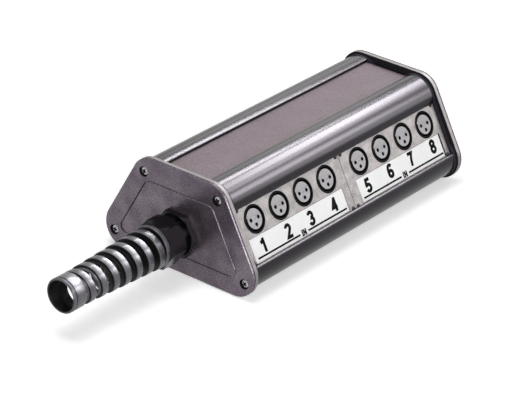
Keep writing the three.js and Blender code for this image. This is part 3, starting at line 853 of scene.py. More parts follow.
# Turns a piece made about X so that its axis is local Z
X_TO_Z = Matrix(((0, 1, 0, 0), (0, 0, 1, 0), (1, 0, 0, 0), (0, 0, 0, 1)))
FIELD_HEIGHT = 0.8
NEAR_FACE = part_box("end_plate_near")[0].x / MM + FIELD_HEIGHT


@dataclass(frozen=True)
class Section:
    """The box's cross-section, which every long piece and both ends share."""

    height: float = 81.5
    width: float = 139.5
    slope: float = math.radians(61.5)
    corner: float = 18.0
    overhang: float = 2.0
    body_length: float = 242.5
    plate: float = 5.2
    gasket: float = 2.5

    @property
    def down(self) -> Point2:
        """The direction down the slope."""
        return (math.cos(self.slope), -math.sin(self.slope))

    @property
    def out(self) -> Point2:
        """The direction out of the slope."""
        return (math.sin(self.slope), math.cos(self.slope))

    @property
    def out_turn(self) -> float:
        """The angle of the direction out of the slope."""
        return math.pi / 2 - self.slope

    @property
    def upper(self) -> Point2:
        """The centre of the upper corner."""
        drop = (self.height - self.corner * 2) / math.tan(self.slope)
        return (self.width / 2 - self.corner - drop, self.height - self.corner)

    @property
    def start(self) -> float:
        """Where the rails start along the box."""
        return self.plate + self.gasket

    @property
    def end(self) -> float:
        """Where the rails end along the box."""
        return self.start + self.body_length

    @property
    def length(self) -> float:
        """The length over both end plates' flat faces."""
        return self.end + self.gasket + self.plate

    def side(self, along: float, outward: float) -> Point2:
        """Finds a point of the sloping side.

        Args:
            along: Its place down the slope.
            outward: Its place out of the slope.

        Returns:
            The point.
        """
        return (
            self.upper[0] + along * self.down[0] + outward * self.out[0],
            self.upper[1] + along * self.down[1] + outward * self.out[1],
        )

    def along(self, height: float, outward: float) -> float:
        """Returns the place down the slope at a height."""
        return (self.upper[1] + outward * self.out[1] - height) / -self.down[1]

    def level(self, height: float, outward: float) -> Point2:
        """Returns the point at a height, a distance out of the corners' line."""
        return self.side(self.along(height, outward), outward)

    def outline(
        self, inset: float, corner: float, top_inset: Optional[float] = None, steps: int = 28
    ) -> List[Point2]:
        """Gives the whole outline, moved inward.

        Args:
            inset: How far it is moved inward.
            corner: Its corner radius.
            top_inset: How far the top edge is moved, if it differs.
            steps: How many pieces each corner has.

        Returns:
            The outline, from the lower right corner upward and round.
        """
        top = inset if top_inset is None else top_inset
        face = self.corner - inset
        upper = self.level(self.height - top - corner, face - corner)
        lower = self.level(inset + corner, face - corner)
        half = arc(lower, corner, -math.pi / 2, self.out_turn, steps)
        half += arc(upper, corner, self.out_turn, math.pi / 2, steps)
        return half + [(-y, z) for y, z in reversed(half)]


SECTION = Section()
TO_ROW = Matrix.Translation((NEAR_FACE, 0, 0))
TO_SLOPE = moved(TO_ROW, 0, -SECTION.upper[0], SECTION.upper[1])
SLOPE_FRAME = TO_SLOPE @ Matrix.Rotation(SECTION.slope, 4, "X")
END_SCREWS: Dict[str, Point2] = {
    "upper_left": (33.9, 69.5),
    "upper_right": (-33.9, 69.5),
    "lower_left": (60.9, 12.7),
    "lower_right": (-60.9, 12.7),
}


@dataclass
class Rails:
    """The four round corner rails with their lips and panel slots."""

    upper_radius: float = 18.0
    lower_radius: float = 16.5
    lip_round: float = 0.8
    lip_steps: int = 24
    edge_round: float = 1.2
    edge_steps: int = 8
    arc_steps: int = 56
    fit: float = 0.3
    wall: float = 2.0
    hollow: float = 5.0
    top_face: float = 76.1
    top_slot_floor: float = 70.7
    top_slot_end: float = 29.3
    top_ledge_end: float = 24.0
    top_lip_y: float = 20.2
    side_face: float = 13.1
    side_back: float = 10.6
    side_lip_upper: float = 9.7
    upper_ledge_end: float = 6.5
    upper_slot_end: float = 3.7
    side_lip_lower: float = 51.6
    lower_ledge_end: float = 54.5
    lower_slot_end: float = 57.3
    bottom_lip_y: float = 44.0
    bottom_ledge_y: float = 47.5
    bottom_slot_end: float = 50.3
    bottom_slot: Point2 = (5.7, 8.3)
    foot_y: float = 54.5
    foot_height: float = 16.0

    def upper_section(self) -> List[Point2]:
        """Draws the upper rail's section on the side of +Y.

        Returns:
            The section, from its inner lip over the outside to the slots.
        """
        box = SECTION
        level = (
            box.height - box.overhang - self.upper_radius,
            box.corner - box.overhang - self.upper_radius,
        )
        centre = box.level(*level)
        lip_y = self.top_lip_y + self.lip_round
        reach = self.upper_radius - self.lip_round
        lip_z = centre[1] + math.sqrt(reach**2 - (lip_y - centre[0]) ** 2)
        lip_turn = math.atan2(lip_z - centre[1], lip_y - centre[0])
        offset = self.side_lip_upper - box.along(*level)
        end_turn = box.out_turn - math.asin(offset / self.upper_radius)
        floor, roof = self.top_slot_floor, self.top_face + self.fit
        face, back = self.side_face + self.fit, self.side_back - self.fit
        return [
            (self.top_lip_y, roof),
            *arc((lip_y, lip_z), self.lip_round, math.pi, lip_turn, self.lip_steps),
            *arc(centre, self.upper_radius, lip_turn, end_turn, self.arc_steps)[1:],
            box.side(self.side_lip_upper, face),
            box.side(self.upper_slot_end, face),
            box.side(self.upper_slot_end, back),
            box.side(self.upper_ledge_end, back),
            box.side(self.upper_ledge_end, back - self.wall),
            box.side(0, self.hollow),
            (self.top_slot_end, floor - self.wall),
            (self.top_ledge_end, floor - self.wall),
            (self.top_ledge_end, floor),
            (self.top_slot_end, floor),
            (self.top_slot_end, roof),
        ]

    def lower_section(self) -> List[Point2]:
        """Draws the lower rail's section on the side of +Y.

        Returns:
            The section, from its side lip under the outside to the slots.
        """
        box = SECTION
        level = (box.overhang + self.lower_radius, box.corner - box.overhang - self.lower_radius)
        centre = box.level(*level)
        along = self.side_lip_lower + self.edge_round
        offset = along - box.along(*level)
        reach = self.lower_radius - self.edge_round
        round_centre = box.side(along, level[1] + math.sqrt(reach**2 - offset**2))
        round_start = box.out_turn + math.pi / 2
        lip_turn = box.out_turn - math.asin(offset / reach)
        lip = (self.bottom_lip_y + self.edge_round, box.overhang + self.edge_round)
        face, back = self.side_face + self.fit, self.side_back - self.fit
        low, high = self.bottom_slot
        return [
            box.side(self.lower_slot_end, face),
            box.side(self.side_lip_lower, face),
            *arc(round_centre, self.edge_round, round_start, lip_turn, self.edge_steps),
            *arc(centre, self.lower_radius, lip_turn, -math.pi / 2, self.arc_steps)[1:],
            *arc(lip, self.edge_round, -math.pi / 2, -math.pi, self.edge_steps)[1:],
            (self.bottom_lip_y, low),
            (self.bottom_slot_end, low),
            (self.bottom_slot_end, high),
            (self.bottom_ledge_y, high),
            (self.bottom_ledge_y, high + self.wall),
            (self.foot_y, high + self.wall),
            (self.foot_y, self.foot_height),
            box.side(self.lower_ledge_end, back - self.wall),
            box.side(self.lower_ledge_end, back),
            box.side(self.lower_slot_end, back),
        ]

    def build(self) -> None:
        """Builds and dresses the four rails."""
        rows = {"upper": self.upper_section(), "lower": self.lower_section()}
        for level, section in rows.items():
            for side in Side:
                node = f"rail_{level}_{side.name.lower()}"
                outline = [(side.value * y, z) for y, z in section]
                piece = drawn_out(f"{node}_dressed", outline, SECTION.start, SECTION.end, TO_ROW)
                dressed(piece, RAIL_ANODISED, Body.BOX, [node], Crease.RAIL)


@dataclass
class Panels:
    """The three blank panels in the rails' slots."""

    nodes: Tuple[str, ...] = ("bottom_panel", "side_panel_left")
    top_edge: float = 0.15

    def build(self) -> None:
        """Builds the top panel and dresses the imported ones."""
        for node in self.nodes:
            kept(node, PANEL_TAUPE)
        low, high = (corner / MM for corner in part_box("top_panel"))
        high.z = Rails.top_face
        top = softened(block("top_panel_dressed", low, high, Matrix()), self.top_edge)
        dressed(top, PANEL_TAUPE, Body.BOX, ["top_panel"], Crease.PACKED)


@dataclass
class EndPlate:
    """An end plate with its raised field, edge groove and counterbores."""

    name: str
    place: Matrix
    pierced: bool
    edge_round: float = 1.2
    edge_steps: int = 6
    groove_start: float = 1.3
    groove_width: float = 0.7
    groove_depth: float = 0.5
    groove_shoulder: float = 0.12
    inner_edge: Tuple[Point2, ...] = ((0.3, 0.0), (0.08, 0.09), (0.0, 0.3))
    field_inset: float = 15.1
    field_top_inset: float = 17.6
    field_corner: float = 5.0
    field_corner_steps: int = 12
    field_round: float = 0.4
    field_round_steps: int = 4
    counterbore: float = 8.0
    counterbore_depth: float = 2.6
    port: float = 4.4
    gland_hole: float = 25.4
    line_width: float = 1.15
    line_depth: float = 0.35
    line_shift: float = 1.6
    # limits of the faces that are painted near black as shade
    sunk: float = 0.05
    line_sunk: float = 0.02
    seat_margin: float = 0.1
    field_reach: float = 54.0
    field_heights: Point2 = (14.0, 65.0)
    wall_tilt: float = 0.8
    left_tilt: float = 0.1
    down_tilt: float = 0.5

    def levels(self) -> List[Point2]:
        """Gives the plate's edge, with its groove.

        Returns:
            Rows of (place along X, inset) from the outer face inward.
        """
        start, end = self.groove_start, self.groove_start + self.groove_width
        wall = self.groove_width / 4
        return [
            *rounding(self.edge_round, self.edge_steps),
            (start, 0.0),
            (start + wall, self.groove_depth),
            (end - wall, self.groove_depth),
            (end, 0.0),
            (end + self.groove_shoulder, 0.0),
            *[(SECTION.plate - back, inset) for back, inset in self.inner_edge],
        ]

    def field_outline(self, inset: float = 0.0) -> List[Point2]:
        """Returns the raised field's outline, moved inward."""
        sides, top = self.field_inset + inset, self.field_top_inset + inset
        return SECTION.outline(sides, self.field_corner, top, self.field_corner_steps)

    def raised_field(self) -> bpy.types.Object:
        """Makes the raised field, with rounded edges.

        Returns:
            The piece.
        """
        rows = rounding(self.field_round, self.field_round_steps)
        levels = [(depth - FIELD_HEIGHT, self.field_outline(inset)) for depth, inset in rows]
        levels.append((SECTION.plate / 2, self.field_outline()))
        return skinned(f"{self.name}_field", levels, self.place)

    def field_line(self) -> bpy.types.Object:
        """Makes a cutter for the fine line below and beside the raised field, which is painted as
        shade.

        Returns:
            The cutter.
        """
        outline = self.field_outline()
        aside = [(y + self.line_shift * self.line_width, z - self.line_width) for y, z in outline]
        top, bottom = -1.5 * OVERRUN, self.line_depth
        line = skinned("cut_line", [(top, aside), (bottom, aside)], self.place)
        ends = [(-2 * OVERRUN, outline), (bottom + OVERRUN, outline)]
        return joined(line, [skinned("line_core", ends, self.place)], "DIFFERENCE")

    def build(self) -> None:
        """Builds and dresses the plate."""
        levels = [(x, SECTION.outline(i, SECTION.corner - i)) for x, i in self.levels()]
        plate = skinned(f"{self.name}_dressed", levels, self.place)
        joined(plate, [self.raised_field()], "UNION")
        cutters = [self.field_line()]
        start, end = -OVERRUN, SECTION.plate + OVERRUN
        seat, seat_end = self.counterbore, self.counterbore_depth
        for name, (y, z) in END_SCREWS.items():
            spot = moved(self.place, 0, y, z)
            cutters.append(rod(f"cut_port_{name}", start, end, self.port, Round.SMALL, spot))
            cutters.append(rod(f"cut_seat_{name}", start, seat_end, seat, Round.SEAT, spot))
        if self.pierced:
            spot = moved(self.place, 0, 0, CableGland.height)
            cutters.append(rod("cut_gland", 2 * start, end, self.gland_hole, Round.HOLE, spot))
        joined(plate, cutters, "DIFFERENCE")
        dressed(plate, PLATE_SATIN, Body.BOX, [self.name], Crease.PLATE)
        # the rim is painted lighter as a highlight
        repainted(plate, PLATE_RIM_HIGHLIGHT, self._is_rim)
        # the grooves, seats, inner side and field walls are painted near black as shade
        repainted(plate, PLATE_SHADE, self._is_dark)

    def _is_rim(self, face: bpy.types.MeshPolygon) -> bool:
        """Says whether a face lies on the rim behind the edge groove, which is painted lighter as
        a highlight.
        """
        centre, normal = within(face, self.place)
        return self.groove_start + self.groove_width < centre.x and abs(normal.x) < FACING

    def _is_dark(self, face: bpy.types.MeshPolygon) -> bool:
        """Says whether a face takes painted shade: in a groove or seat, on the inner side, or by
        the field.

        Args:
            face: The face.

        Returns:
            Whether it takes painted shade.
        """
        centre, normal = within(face, self.place)
        in_groove = self.sunk < centre.x - self.groove_start < self.groove_width
        seats = [math.hypot(centre.y - y, centre.z - z) for y, z in END_SCREWS.values()]
        in_seat = centre.x > self.sunk and min(seats) < self.counterbore / 2 + self.seat_margin
        low, high = self.field_heights
        by_field = abs(centre.y) < self.field_reach and low < centre.z < high
        turned_away = normal.y > self.left_tilt or normal.z < -self.down_tilt
        shaded = abs(normal.x) < self.wall_tilt and turned_away
        wall = by_field and (self.line_sunk < centre.x or shaded)
        return in_groove or normal.x > FACING or in_seat or wall


@dataclass
class EndScrews:
    """The four cross-head screws of an end plate."""

    end: str
    place: Matrix
    head: float = 6.2
    head_height: float = 2.0
    crown: float = 0.5
    crown_steps: int = 8
    crown_share: float = 0.94
    crown_edge: float = 0.12
    head_edge: float = 0.1
    shank: float = 3.8
    length: float = 16.0
    recess_width: float = 1.5
    recess_length: float = 4.4
    recess_floor_width: float = 1.0
    recess_floor_length: float = 2.2
    recess_depth: float = 1.6
    first_turn: float = 20.0
    next_turn: float = 37.0
    # limits of the faces that take the cross recess's painted shade
    recess_sunk: float = 0.12
    recess_end: float = 0.4

    def profile(self) -> List[Point2]:
        """Draws the screw's profile.

        Returns:
            The profile, its head's crown first.
        """
        head, shank = self.head / 2, self.shank / 2
        shares = [i / self.crown_steps for i in range(self.crown_steps + 1)]
        rows = [
            (-self.head_height + self.crown * share**2, head * self.crown_share * share)
            for share in shares
        ]
        rows += [
            (-self.head_height + self.crown + self.crown_edge, head),
            (-self.head_edge, head),
            (0.0, head - self.head_edge),
            (0.0, shank),
            (self.length - shank, shank),
            (self.length, 0.0),
        ]
        return rows

    def build(self) -> None:
        """Builds and dresses the screws."""
        for index, (name, (y, z)) in enumerate(END_SCREWS.items()):
            node = f"end_screw_{self.end}_{name}"
            turn = math.radians(self.first_turn + self.next_turn * index)
            seat = moved(self.place, EndPlate.counterbore_depth, y, z)
            spot = seat @ Matrix.Rotation(turn, 4, "X")
            screw = turned(f"{node}_dressed", self.profile(), Round.SCREW, spot)
            arms = [self._recess_arm(spot @ Matrix.Rotation(t, 4, "X")) for t in (0, math.pi / 2)]
            joined(screw, arms, "DIFFERENCE")
            dressed(screw, SCREW_BRIGHT, Body.BOX, [node], Crease.TURNED)
            # the cross recess is painted near black as shade
            repainted(screw, RECESS_SHADE, lambda face: self._in_recess(face, spot))

    def _in_recess(self, face: bpy.types.MeshPolygon, spot: Matrix) -> bool:
        """Says whether a face lies inside the cross recess, which is painted as shade.

        Args:
            face: The face.
            spot: The screw's frame.

        Returns:
            Whether it does.
        """
        centre, _ = within(face, spot)
        reach = math.hypot(centre.y, centre.z)
        share = reach / (self.head / 2 * self.crown_share)
        crown = self.crown * share**2 - self.head_height
        deep = crown + self.recess_sunk < centre.x < self.recess_end
        return reach < self.recess_length / 2 and deep

    def _recess_arm(self, place: Matrix) -> bpy.types.Object:
        """Makes one arm of the cross recess, which narrows as it goes in.

        Args:
            place: The arm's frame.

        Returns:
            The cutter.
        """
        top, bottom = -self.head_height - OVERRUN / 2, -self.head_height + self.recess_depth
        wide, narrow = self.recess_width / 2, self.recess_floor_width / 2
        long, short = self.recess_length / 2, self.recess_floor_length / 2
        levels = [
            (top, [(-long, -wide), (long, -wide), (long, wide), (-long, wide)]),
            (bottom, [(-short, -narrow), (short, -narrow), (short, narrow), (-short, narrow)]),
        ]
        return skinned("cut_arm", levels, place)


@dataclass
class SocketModule:
    """One cast plate with four sockets, its screws, carrier and label."""

    index: int
    count: int = 4
    length: float = 121.25
    pitch: float = 28.0
    outer_margin: float = 17.3
    line: float = 21.3
    upper: float = 4.0
    lower: float = 57.0
    face: float = 13.1
    back: float = 10.6
    edge: float = 0.15
    seam: float = 0.5
    barrel_hole: float = 20.4
    flange_seat: float = 21.6
    flange_seat_depth: float = 1.0
    screw_margin: float = 3.0
    screw_lines: Point2 = (9.8, 51.2)
    screw_seat: float = 4.0
    screw_seat_depth: float = 1.5
    screw_profile: Tuple[Point2, ...] = (
        (0.25, 0.0), (0.22, 0.8), (0.12, 1.4), (-0.06, 1.7), (-0.4, 1.65), (-1.4, 1.2),
        (-6.6, 1.2), (-6.8, 1.0), (-6.8, 0.0),
    )
    slot_length: float = 2.4
    slot_width: float = 0.56
    slot_depth: float = 0.5
    first_turn: float = 12.0
    next_turn: float = 31.0
    label_lines: Point2 = (32.8, 51.3)
    label_outer: float = 4.4
    label_seams: Point2 = (7.3, 9.8)
    label_gaps: Point2 = (0.3, 1.5)
    label_recess: float = 0.6
    # limits of the faces that are painted near black as shade
    border: float = 1.0
    sunk: float = 0.2

    @property
    def start(self) -> float:
        """The module's start along the box."""
        return SECTION.start + self.index * self.length

    @property
    def place(self) -> Matrix:
        """The module's frame: X along the box, Y up the slope, Z outward."""
        return moved(SLOPE_FRAME, self.start, 0, 0)

    @property
    def number(self) -> int:
        """The module's number, from the gland's end."""
        return self.index + 1

    @property
    def first_socket(self) -> int:
        """The number of the module's first socket."""
        return self.index * self.count + 1

    def sockets(self) -> List[float]:
        """Returns the sockets' places along the module."""
        span = self.pitch * (self.count - 1)
        first = self.outer_margin if self.index == 0 else self.length - self.outer_margin - span
        return [first + self.pitch * i for i in range(self.count)]

    def screws(self) -> List[Point2]:
        """Returns the screws' places in the module's frame."""
        xs = (self.screw_margin, self.length - self.screw_margin)
        return [(x, -line) for x in xs for line in self.screw_lines]

    def label_span(self) -> Point2:
        """Finds the label's pocket.

        Returns:
            Where it starts and ends along the module.
        """
        seam = self.label_seams[self.index]
        if self.index == 0:
            return (self.label_outer, self.length - seam)
        return (seam, self.length - self.label_outer)

    def build(self) -> None:
        """Builds and dresses the plate and all that it carries."""
        self._build_plate()
        self._build_screws()
        kept(f"socket_carrier_{self.number}", CARRIER_BLACK)
        for i, x in enumerate(self.sockets()):
            Socket(self.first_socket + i, moved(self.place, x, -self.line, self.face)).build()
        LabelStrip(self).build()

    def _cutters(self) -> List[bpy.types.Object]:
        """Makes the cutters of the plate's holes, seats and pocket.

        Returns:
            The cutters.
        """
        cutters = []
        top = self.face + OVERRUN
        for i, x in enumerate(self.sockets()):
            spot = moved(self.place, x, -self.line, 0) @ X_TO_Z
            low = self.back - OVERRUN
            cutters.append(rod(f"cut_barrel_{i}", low, top, self.barrel_hole, Round.HOLE, spot))
            low = self.face - self.flange_seat_depth
            cutters.append(rod(f"cut_flange_{i}", low, top, self.flange_seat, Round.FINE, spot))
        for i, (x, y) in enumerate(self.screws()):
            spot = moved(self.place, x, y, 0) @ X_TO_Z
            low = self.face - self.screw_seat_depth
            cutters.append(rod(f"cut_screw_{i}", low, top, self.screw_seat, Round.SMALL, spot))
        start, end = self.label_span()
        pocket_low = (start, -self.label_lines[1], self.face - self.label_recess)
        pocket_high = (end, -self.label_lines[0], top)
        return cutters + [block("cut_pocket", pocket_low, pocket_high, self.place)]

    def _build_plate(self) -> None:
        """Builds the cast plate with its holes and pocket."""
        name = f"socket_plate_{self.number}"
        seam = self.seam / 2
        low = (seam * self.index, -self.lower, self.back)
        high = (self.length - seam * (1 - self.index), -self.upper, self.face)
        plate = block(f"{name}_dressed", low, high, self.place)
        joined(plate, self._cutters(), "DIFFERENCE")
        softened(plate, self.edge)
        dressed(plate, SOCKET_PLATE_CAST, Body.BOX, [name], Crease.PLATE)
        # the pocket, seats and holes are painted near black as shade
        repainted(plate, POCKET_SHADE, self._is_sunk)

    def _is_sunk(self, face: bpy.types.MeshPolygon) -> bool:
        """Says whether a face lies in a pocket, seat or hole of the plate, which is painted as
        shade.

        Args:
            face: The face.

        Returns:
            Whether it does.
        """
        centre, _ = within(face, self.place)
        inside_x = self.border < centre.x < self.length - self.border
        inside_y = -self.lower + self.border < centre.y < -self.upper - self.border
        return inside_x and inside_y and centre.z < self.face - self.sunk

    def _build_screws(self) -> None:
        """Builds the plate's black screws."""
        long, wide, deep = self.slot_length / 2, self.slot_width / 2, self.slot_depth
        for i, (x, y) in enumerate(self.screws()):
            node = f"plate_screw_{self.number}_{i + 1}"
            turn = math.radians(self.next_turn * i + self.first_turn)
            spot = moved(self.place, x, y, self.face) @ Matrix.Rotation(turn, 4, "Z")
            screw = turned(f"{node}_dressed", self.screw_profile, Round.SMALL, spot @ X_TO_Z)
            cutters = [
                block("cut_slot", (-across, -up, -deep), (across, up, OVERRUN), spot)
                for across, up in ((long, wide), (wide, long))
            ]
            joined(screw, cutters, "DIFFERENCE")
            dressed(screw, SCREW_BLACK, Body.BOX, [node], Crease.TURNED)


@dataclass
class Socket:
    """A three-pole socket: black shell, a ring painted light as a highlight, grey insert and
    contact sleeves.
    """

    number: int
    place: Matrix
    flange: float = 21.1
    flange_depth: float = 1.1
    proud: float = 0.4
    shell_round: float = 0.2
    shell_steps: int = 4
    floor: float = 1.5
    bore: float = 18.6
    barrel: float = 19.8
    depth: float = 20.0
    # a thin ring in the seat's gap, painted light as the highlight on the seat's edge
    rim_gap: float = 0.42
    rim_wire: float = 0.17
    rim_lift: float = 0.05
    insert: float = 15.6
    insert_proud: float = 0.25
    insert_back: float = 1.8
    insert_round: float = 0.5
    insert_steps: int = 5
    edge: float = 0.12
    edge_degrees: float = 45.0
    step: float = 0.35
    step_line: float = 2.3
    key_turn: float = 150.0
    key_half: float = 0.8
    key_reach: float = 0.8
    key_root: float = 2.0
    key_length: float = 8.0
    key_drop: float = 0.35
    mark_depth: float = 0.45
    mark_half: float = 1.2
    mark_lines: Point2 = (-0.2, 0.3)
    hole: float = 2.9
    hole_depth: float = 9.0
    contacts: Tuple[Point2, ...] = ((-4.1, 0.2), (4.1, 0.2), (0.0, -4.2))
    sleeve_gap: float = 0.05
    sleeve_wall: float = 0.35
    sleeve_edge: float = 0.1
    sleeve_depths: Tuple[float, float, float] = (8.8, 2.0, 1.8)
    # limits of the insert's faces that are painted near black as shade
    least_facing: float = 0.85
    deep_margin: float = 0.1
    wall_margin: float = 0.4

    def build(self) -> None:
        """Builds and dresses the socket's pieces."""
        self._build_shell()
        self._build_rim()
        self._build_insert()
        self._build_sleeves()

    def _build_shell(self) -> None:
        """Builds the black shell, rounded at its mouth."""
        outer, barrel, bore = self.flange / 2, self.barrel / 2, self.bore / 2
        curve, steps = self.shell_round, self.shell_steps
        front, shoulder = self.proud, self.proud - self.flange_depth
        floor = self.floor - self.depth
        rows = [
            (-self.depth, 0.0),
            (-self.depth, barrel),
            (shoulder, barrel),
            (shoulder, outer),
            *arc((front - curve, outer - curve), curve, math.pi / 2, 0, steps),
            *arc((front - curve, bore + curve), curve, 0, -math.pi / 2, steps),
            (floor, bore),
            (floor, 0.0),
        ]
        name = f"socket_shell_{self.number}"
        shell = turned(f"{name}_dressed", rows, Round.BARREL, self.place @ X_TO_Z)
        dressed(shell, SHELL_BLACK, Body.BOX, [name], Crease.TURNED)

    def _build_rim(self) -> None:
        """Builds the thin ring round the shell's flange, painted light as the highlight on the
        edge of its seat.
        """
        ring = arc((0, self.flange / 2 + self.rim_gap), self.rim_wire, 0, math.tau, Round.WIRE)
        rows = [(self.rim_lift + along, radius) for along, radius in ring]
        rows[-1] = rows[0]
        rim = turned(f"socket_rim_{self.number}", rows, Round.BARREL, self.place @ X_TO_Z)
        dressed(rim, SEAT_EDGE_HIGHLIGHT, Body.BOX, (), Crease.WIRE)

    def _build_insert(self) -> None:
        """Builds the grey insert with its step, key and contact holes."""
        radius, front, curve = self.insert / 2, self.insert_proud, self.insert_round
        back = self.insert_back - self.depth
        rows = [
            (back, 0.0),
            (back, radius),
            *arc((front - curve, radius - curve), curve, math.pi / 2, 0, self.insert_steps),
            (front, 0.0),
        ]
        name = f"socket_insert_{self.number}"
        insert = turned(f"{name}_dressed", rows, Round.HOLE, self.place @ X_TO_Z)
        turn = Matrix.Rotation(math.radians(self.key_turn), 4, "Z")
        key_low = (radius - self.key_root, -self.key_half, front - self.key_length)
        key_high = (radius + self.key_reach, self.key_half, front - self.key_drop)
        joined(insert, [block("key", key_low, key_high, self.place @ turn)], "UNION")
        joined(insert, self._insert_cutters(), "DIFFERENCE")
        softened(insert, self.edge, degrees=self.edge_degrees)
        dressed(insert, INSERT_GREY, Body.BOX, [name], Crease.PLATE)
        # the insert's walls, outer edge and hole floors are painted near black as shade
        repainted(insert, INSERT_SHADE, self._in_shade)

    def _insert_cutters(self) -> List[bpy.types.Object]:
        """Makes the cutters of the contact holes, the step and the mark.

        Returns:
            The cutters.
        """
        front, reach = self.insert_proud, self.insert / 2 + OVERRUN
        cutters = []
        for i, (x, y) in enumerate(self.contacts):
            spot = moved(self.place, x, y, 0) @ X_TO_Z
            low = front - self.hole_depth
            cutters.append(rod(f"cut_contact_{i}", low, OVERRUN, self.hole, Round.SMALL, spot))
        step_low = (-reach, self.step_line, front - self.step)
        cutters.append(block("cut_step", step_low, (reach, reach, OVERRUN), self.place))
        mark_low = (-self.mark_half, self.mark_lines[0], front - self.mark_depth)
        mark_high = (self.mark_half, self.mark_lines[1], OVERRUN)
        cutters.append(block("cut_mark", mark_low, mark_high, self.place))
        return cutters

    def _in_shade(self, face: bpy.types.MeshPolygon) -> bool:
        """Says whether a face of the insert takes painted shade: a wall, rounding, edge or hole
        floor.

        Args:
            face: The face.

        Returns:
            Whether it is.
        """
        centre, _ = within(face, self.place)
        out = (self.place.to_3x3() @ Vector((0, 0, 1))).normalized()
        deep = centre.z < self.insert_proud - self.step - self.deep_margin
        outer = math.hypot(centre.x, centre.y) > self.insert / 2 - self.wall_margin
        return face.normal.dot(out) < self.least_facing or deep or outer

    def _build_sleeves(self) -> None:
        """Builds the sprung sleeves at the bottom of the contact holes."""
        bottom, edge, top = (self.insert_proud - depth for depth in self.sleeve_depths)
        outer = self.hole / 2 - self.sleeve_gap
        inner = outer - self.sleeve_wall
        rows = [
            (bottom, outer), (edge, outer), (top, outer - self.sleeve_edge),
            (top, inner), (bottom, inner), (bottom, outer),
        ]
        for i, (x, y) in enumerate(self.contacts):
            spot = moved(self.place, x, y, 0) @ X_TO_Z
            sleeve = turned(f"socket_sleeve_{self.number}_{i + 1}", rows, Round.SLEEVE, spot)
            dressed(sleeve, CONTACT_SLEEVE, Body.BOX, (), Crease.TURNED)


@dataclass
class LabelStrip:
    """A white label with plain numbers, a ruled line and the word for an input."""

    module: SocketModule
    margin: float = 0.3
    thickness: float = 0.5
    edge: float = 0.12
    ink: float = 0.04
    weight: float = 0.25
    number_height: float = 10.6
    number_lines: Tuple[Tuple[float, ...], ...] = (
        (41.2, 41.2, 41.2, 41.0),
        (41.0, 39.8, 39.8, 39.6),
    )
    number_places: Tuple[Tuple[float, ...], ...] = ((24.5, 53, 80, 107), (150, 178.5, 206, 234))
    word: str = "IN"
    word_height: float = 5.0
    word_line: float = 47.9
    word_places: Point2 = (68.2, 193.2)
    rule_line: float = 48.2
    rule_thickness: float = 1.4
    rule_edge: float = 0.02
    rule_spans: Tuple[Tuple[Point2, ...], ...] = (
        ((15, 63.5), (73, 119.5)),
        ((141, 188.5), (198, 243.5)),
    )

    def build(self) -> None:
        """Builds and dresses the strip and what is printed on it."""
        module = self.module
        name = f"label_strip_{module.number}"
        start, end = module.label_span()
        floor = module.face - module.label_recess
        low = (start + self.margin, -module.label_lines[1] + self.margin, floor)
        high = (
            end - module.label_gaps[module.index],
            -module.label_lines[0] - self.margin,
            floor + self.thickness,
        )
        strip = softened(block(f"{name}_dressed", low, high, module.place), self.edge)
        dressed(strip, LABEL_WHITE, Body.BOX, [name], Crease.PLATE)
        places = zip(self.number_places[module.index], self.number_lines[module.index])
        for number, (x, line) in enumerate(places, module.first_socket):
            self._print(f"label_number_{number}", str(number), (x, line), self.number_height)
        spot = (self.word_places[module.index], self.word_line)
        self._print(f"label_word_{module.number}", self.word, spot, self.word_height)
        for i, span in enumerate(self.rule_spans[module.index]):
            self._rule(f"label_rule_{module.number}_{i + 1}", span)

    @property
    def _surface(self) -> float:
        """The height of the strip's face."""
        return self.module.face - self.module.label_recess + self.thickness

    def _print(self, name: str, text: str, spot: Point2, height: float) -> None:
        """Prints a word or number.

        Args:
            name: The piece's name.
            text: What is printed.
            spot: The middle of it along the box and down the slope.
            height: How high the letters are.
        """
        points, faces = [], []
        for letter in text:
            for path in STROKES[letter]:
                corners, sides = banded(path, self.weight, self.ink / height)
                faces += [tuple(i + len(points) for i in side) for side in sides]
                points += corners
        middle = (min(p[0] for p in points) + max(p[0] for p in points)) / 2
        place = moved(self.module.place, spot[0] - self.module.start, -spot[1], self._surface)
        scaled = [((x - middle) * height, (y - 0.5) * height, z * height) for x, y, z in points]
        printed = new_piece(name, scaled, faces, place)
        dressed(printed, LABEL_INK, Body.BOX, (), Crease.PLATE)

    def _rule(self, name: str, span: Point2) -> None:
        """Prints a ruled line.

        Args:
            name: The piece's name.
            span: Where it starts and ends along the box.
        """
        half = self.rule_thickness / 2
        start, end = (value - self.module.start for value in span)
        low = (start, -self.rule_line - half, self._surface - self.ink)
        high = (end, -self.rule_line + half, self._surface + self.ink)
        piece = softened(block(name, low, high, self.module.place), self.rule_edge, 1)
        dressed(piece, LABEL_INK, Body.BOX, (), Crease.PLATE)


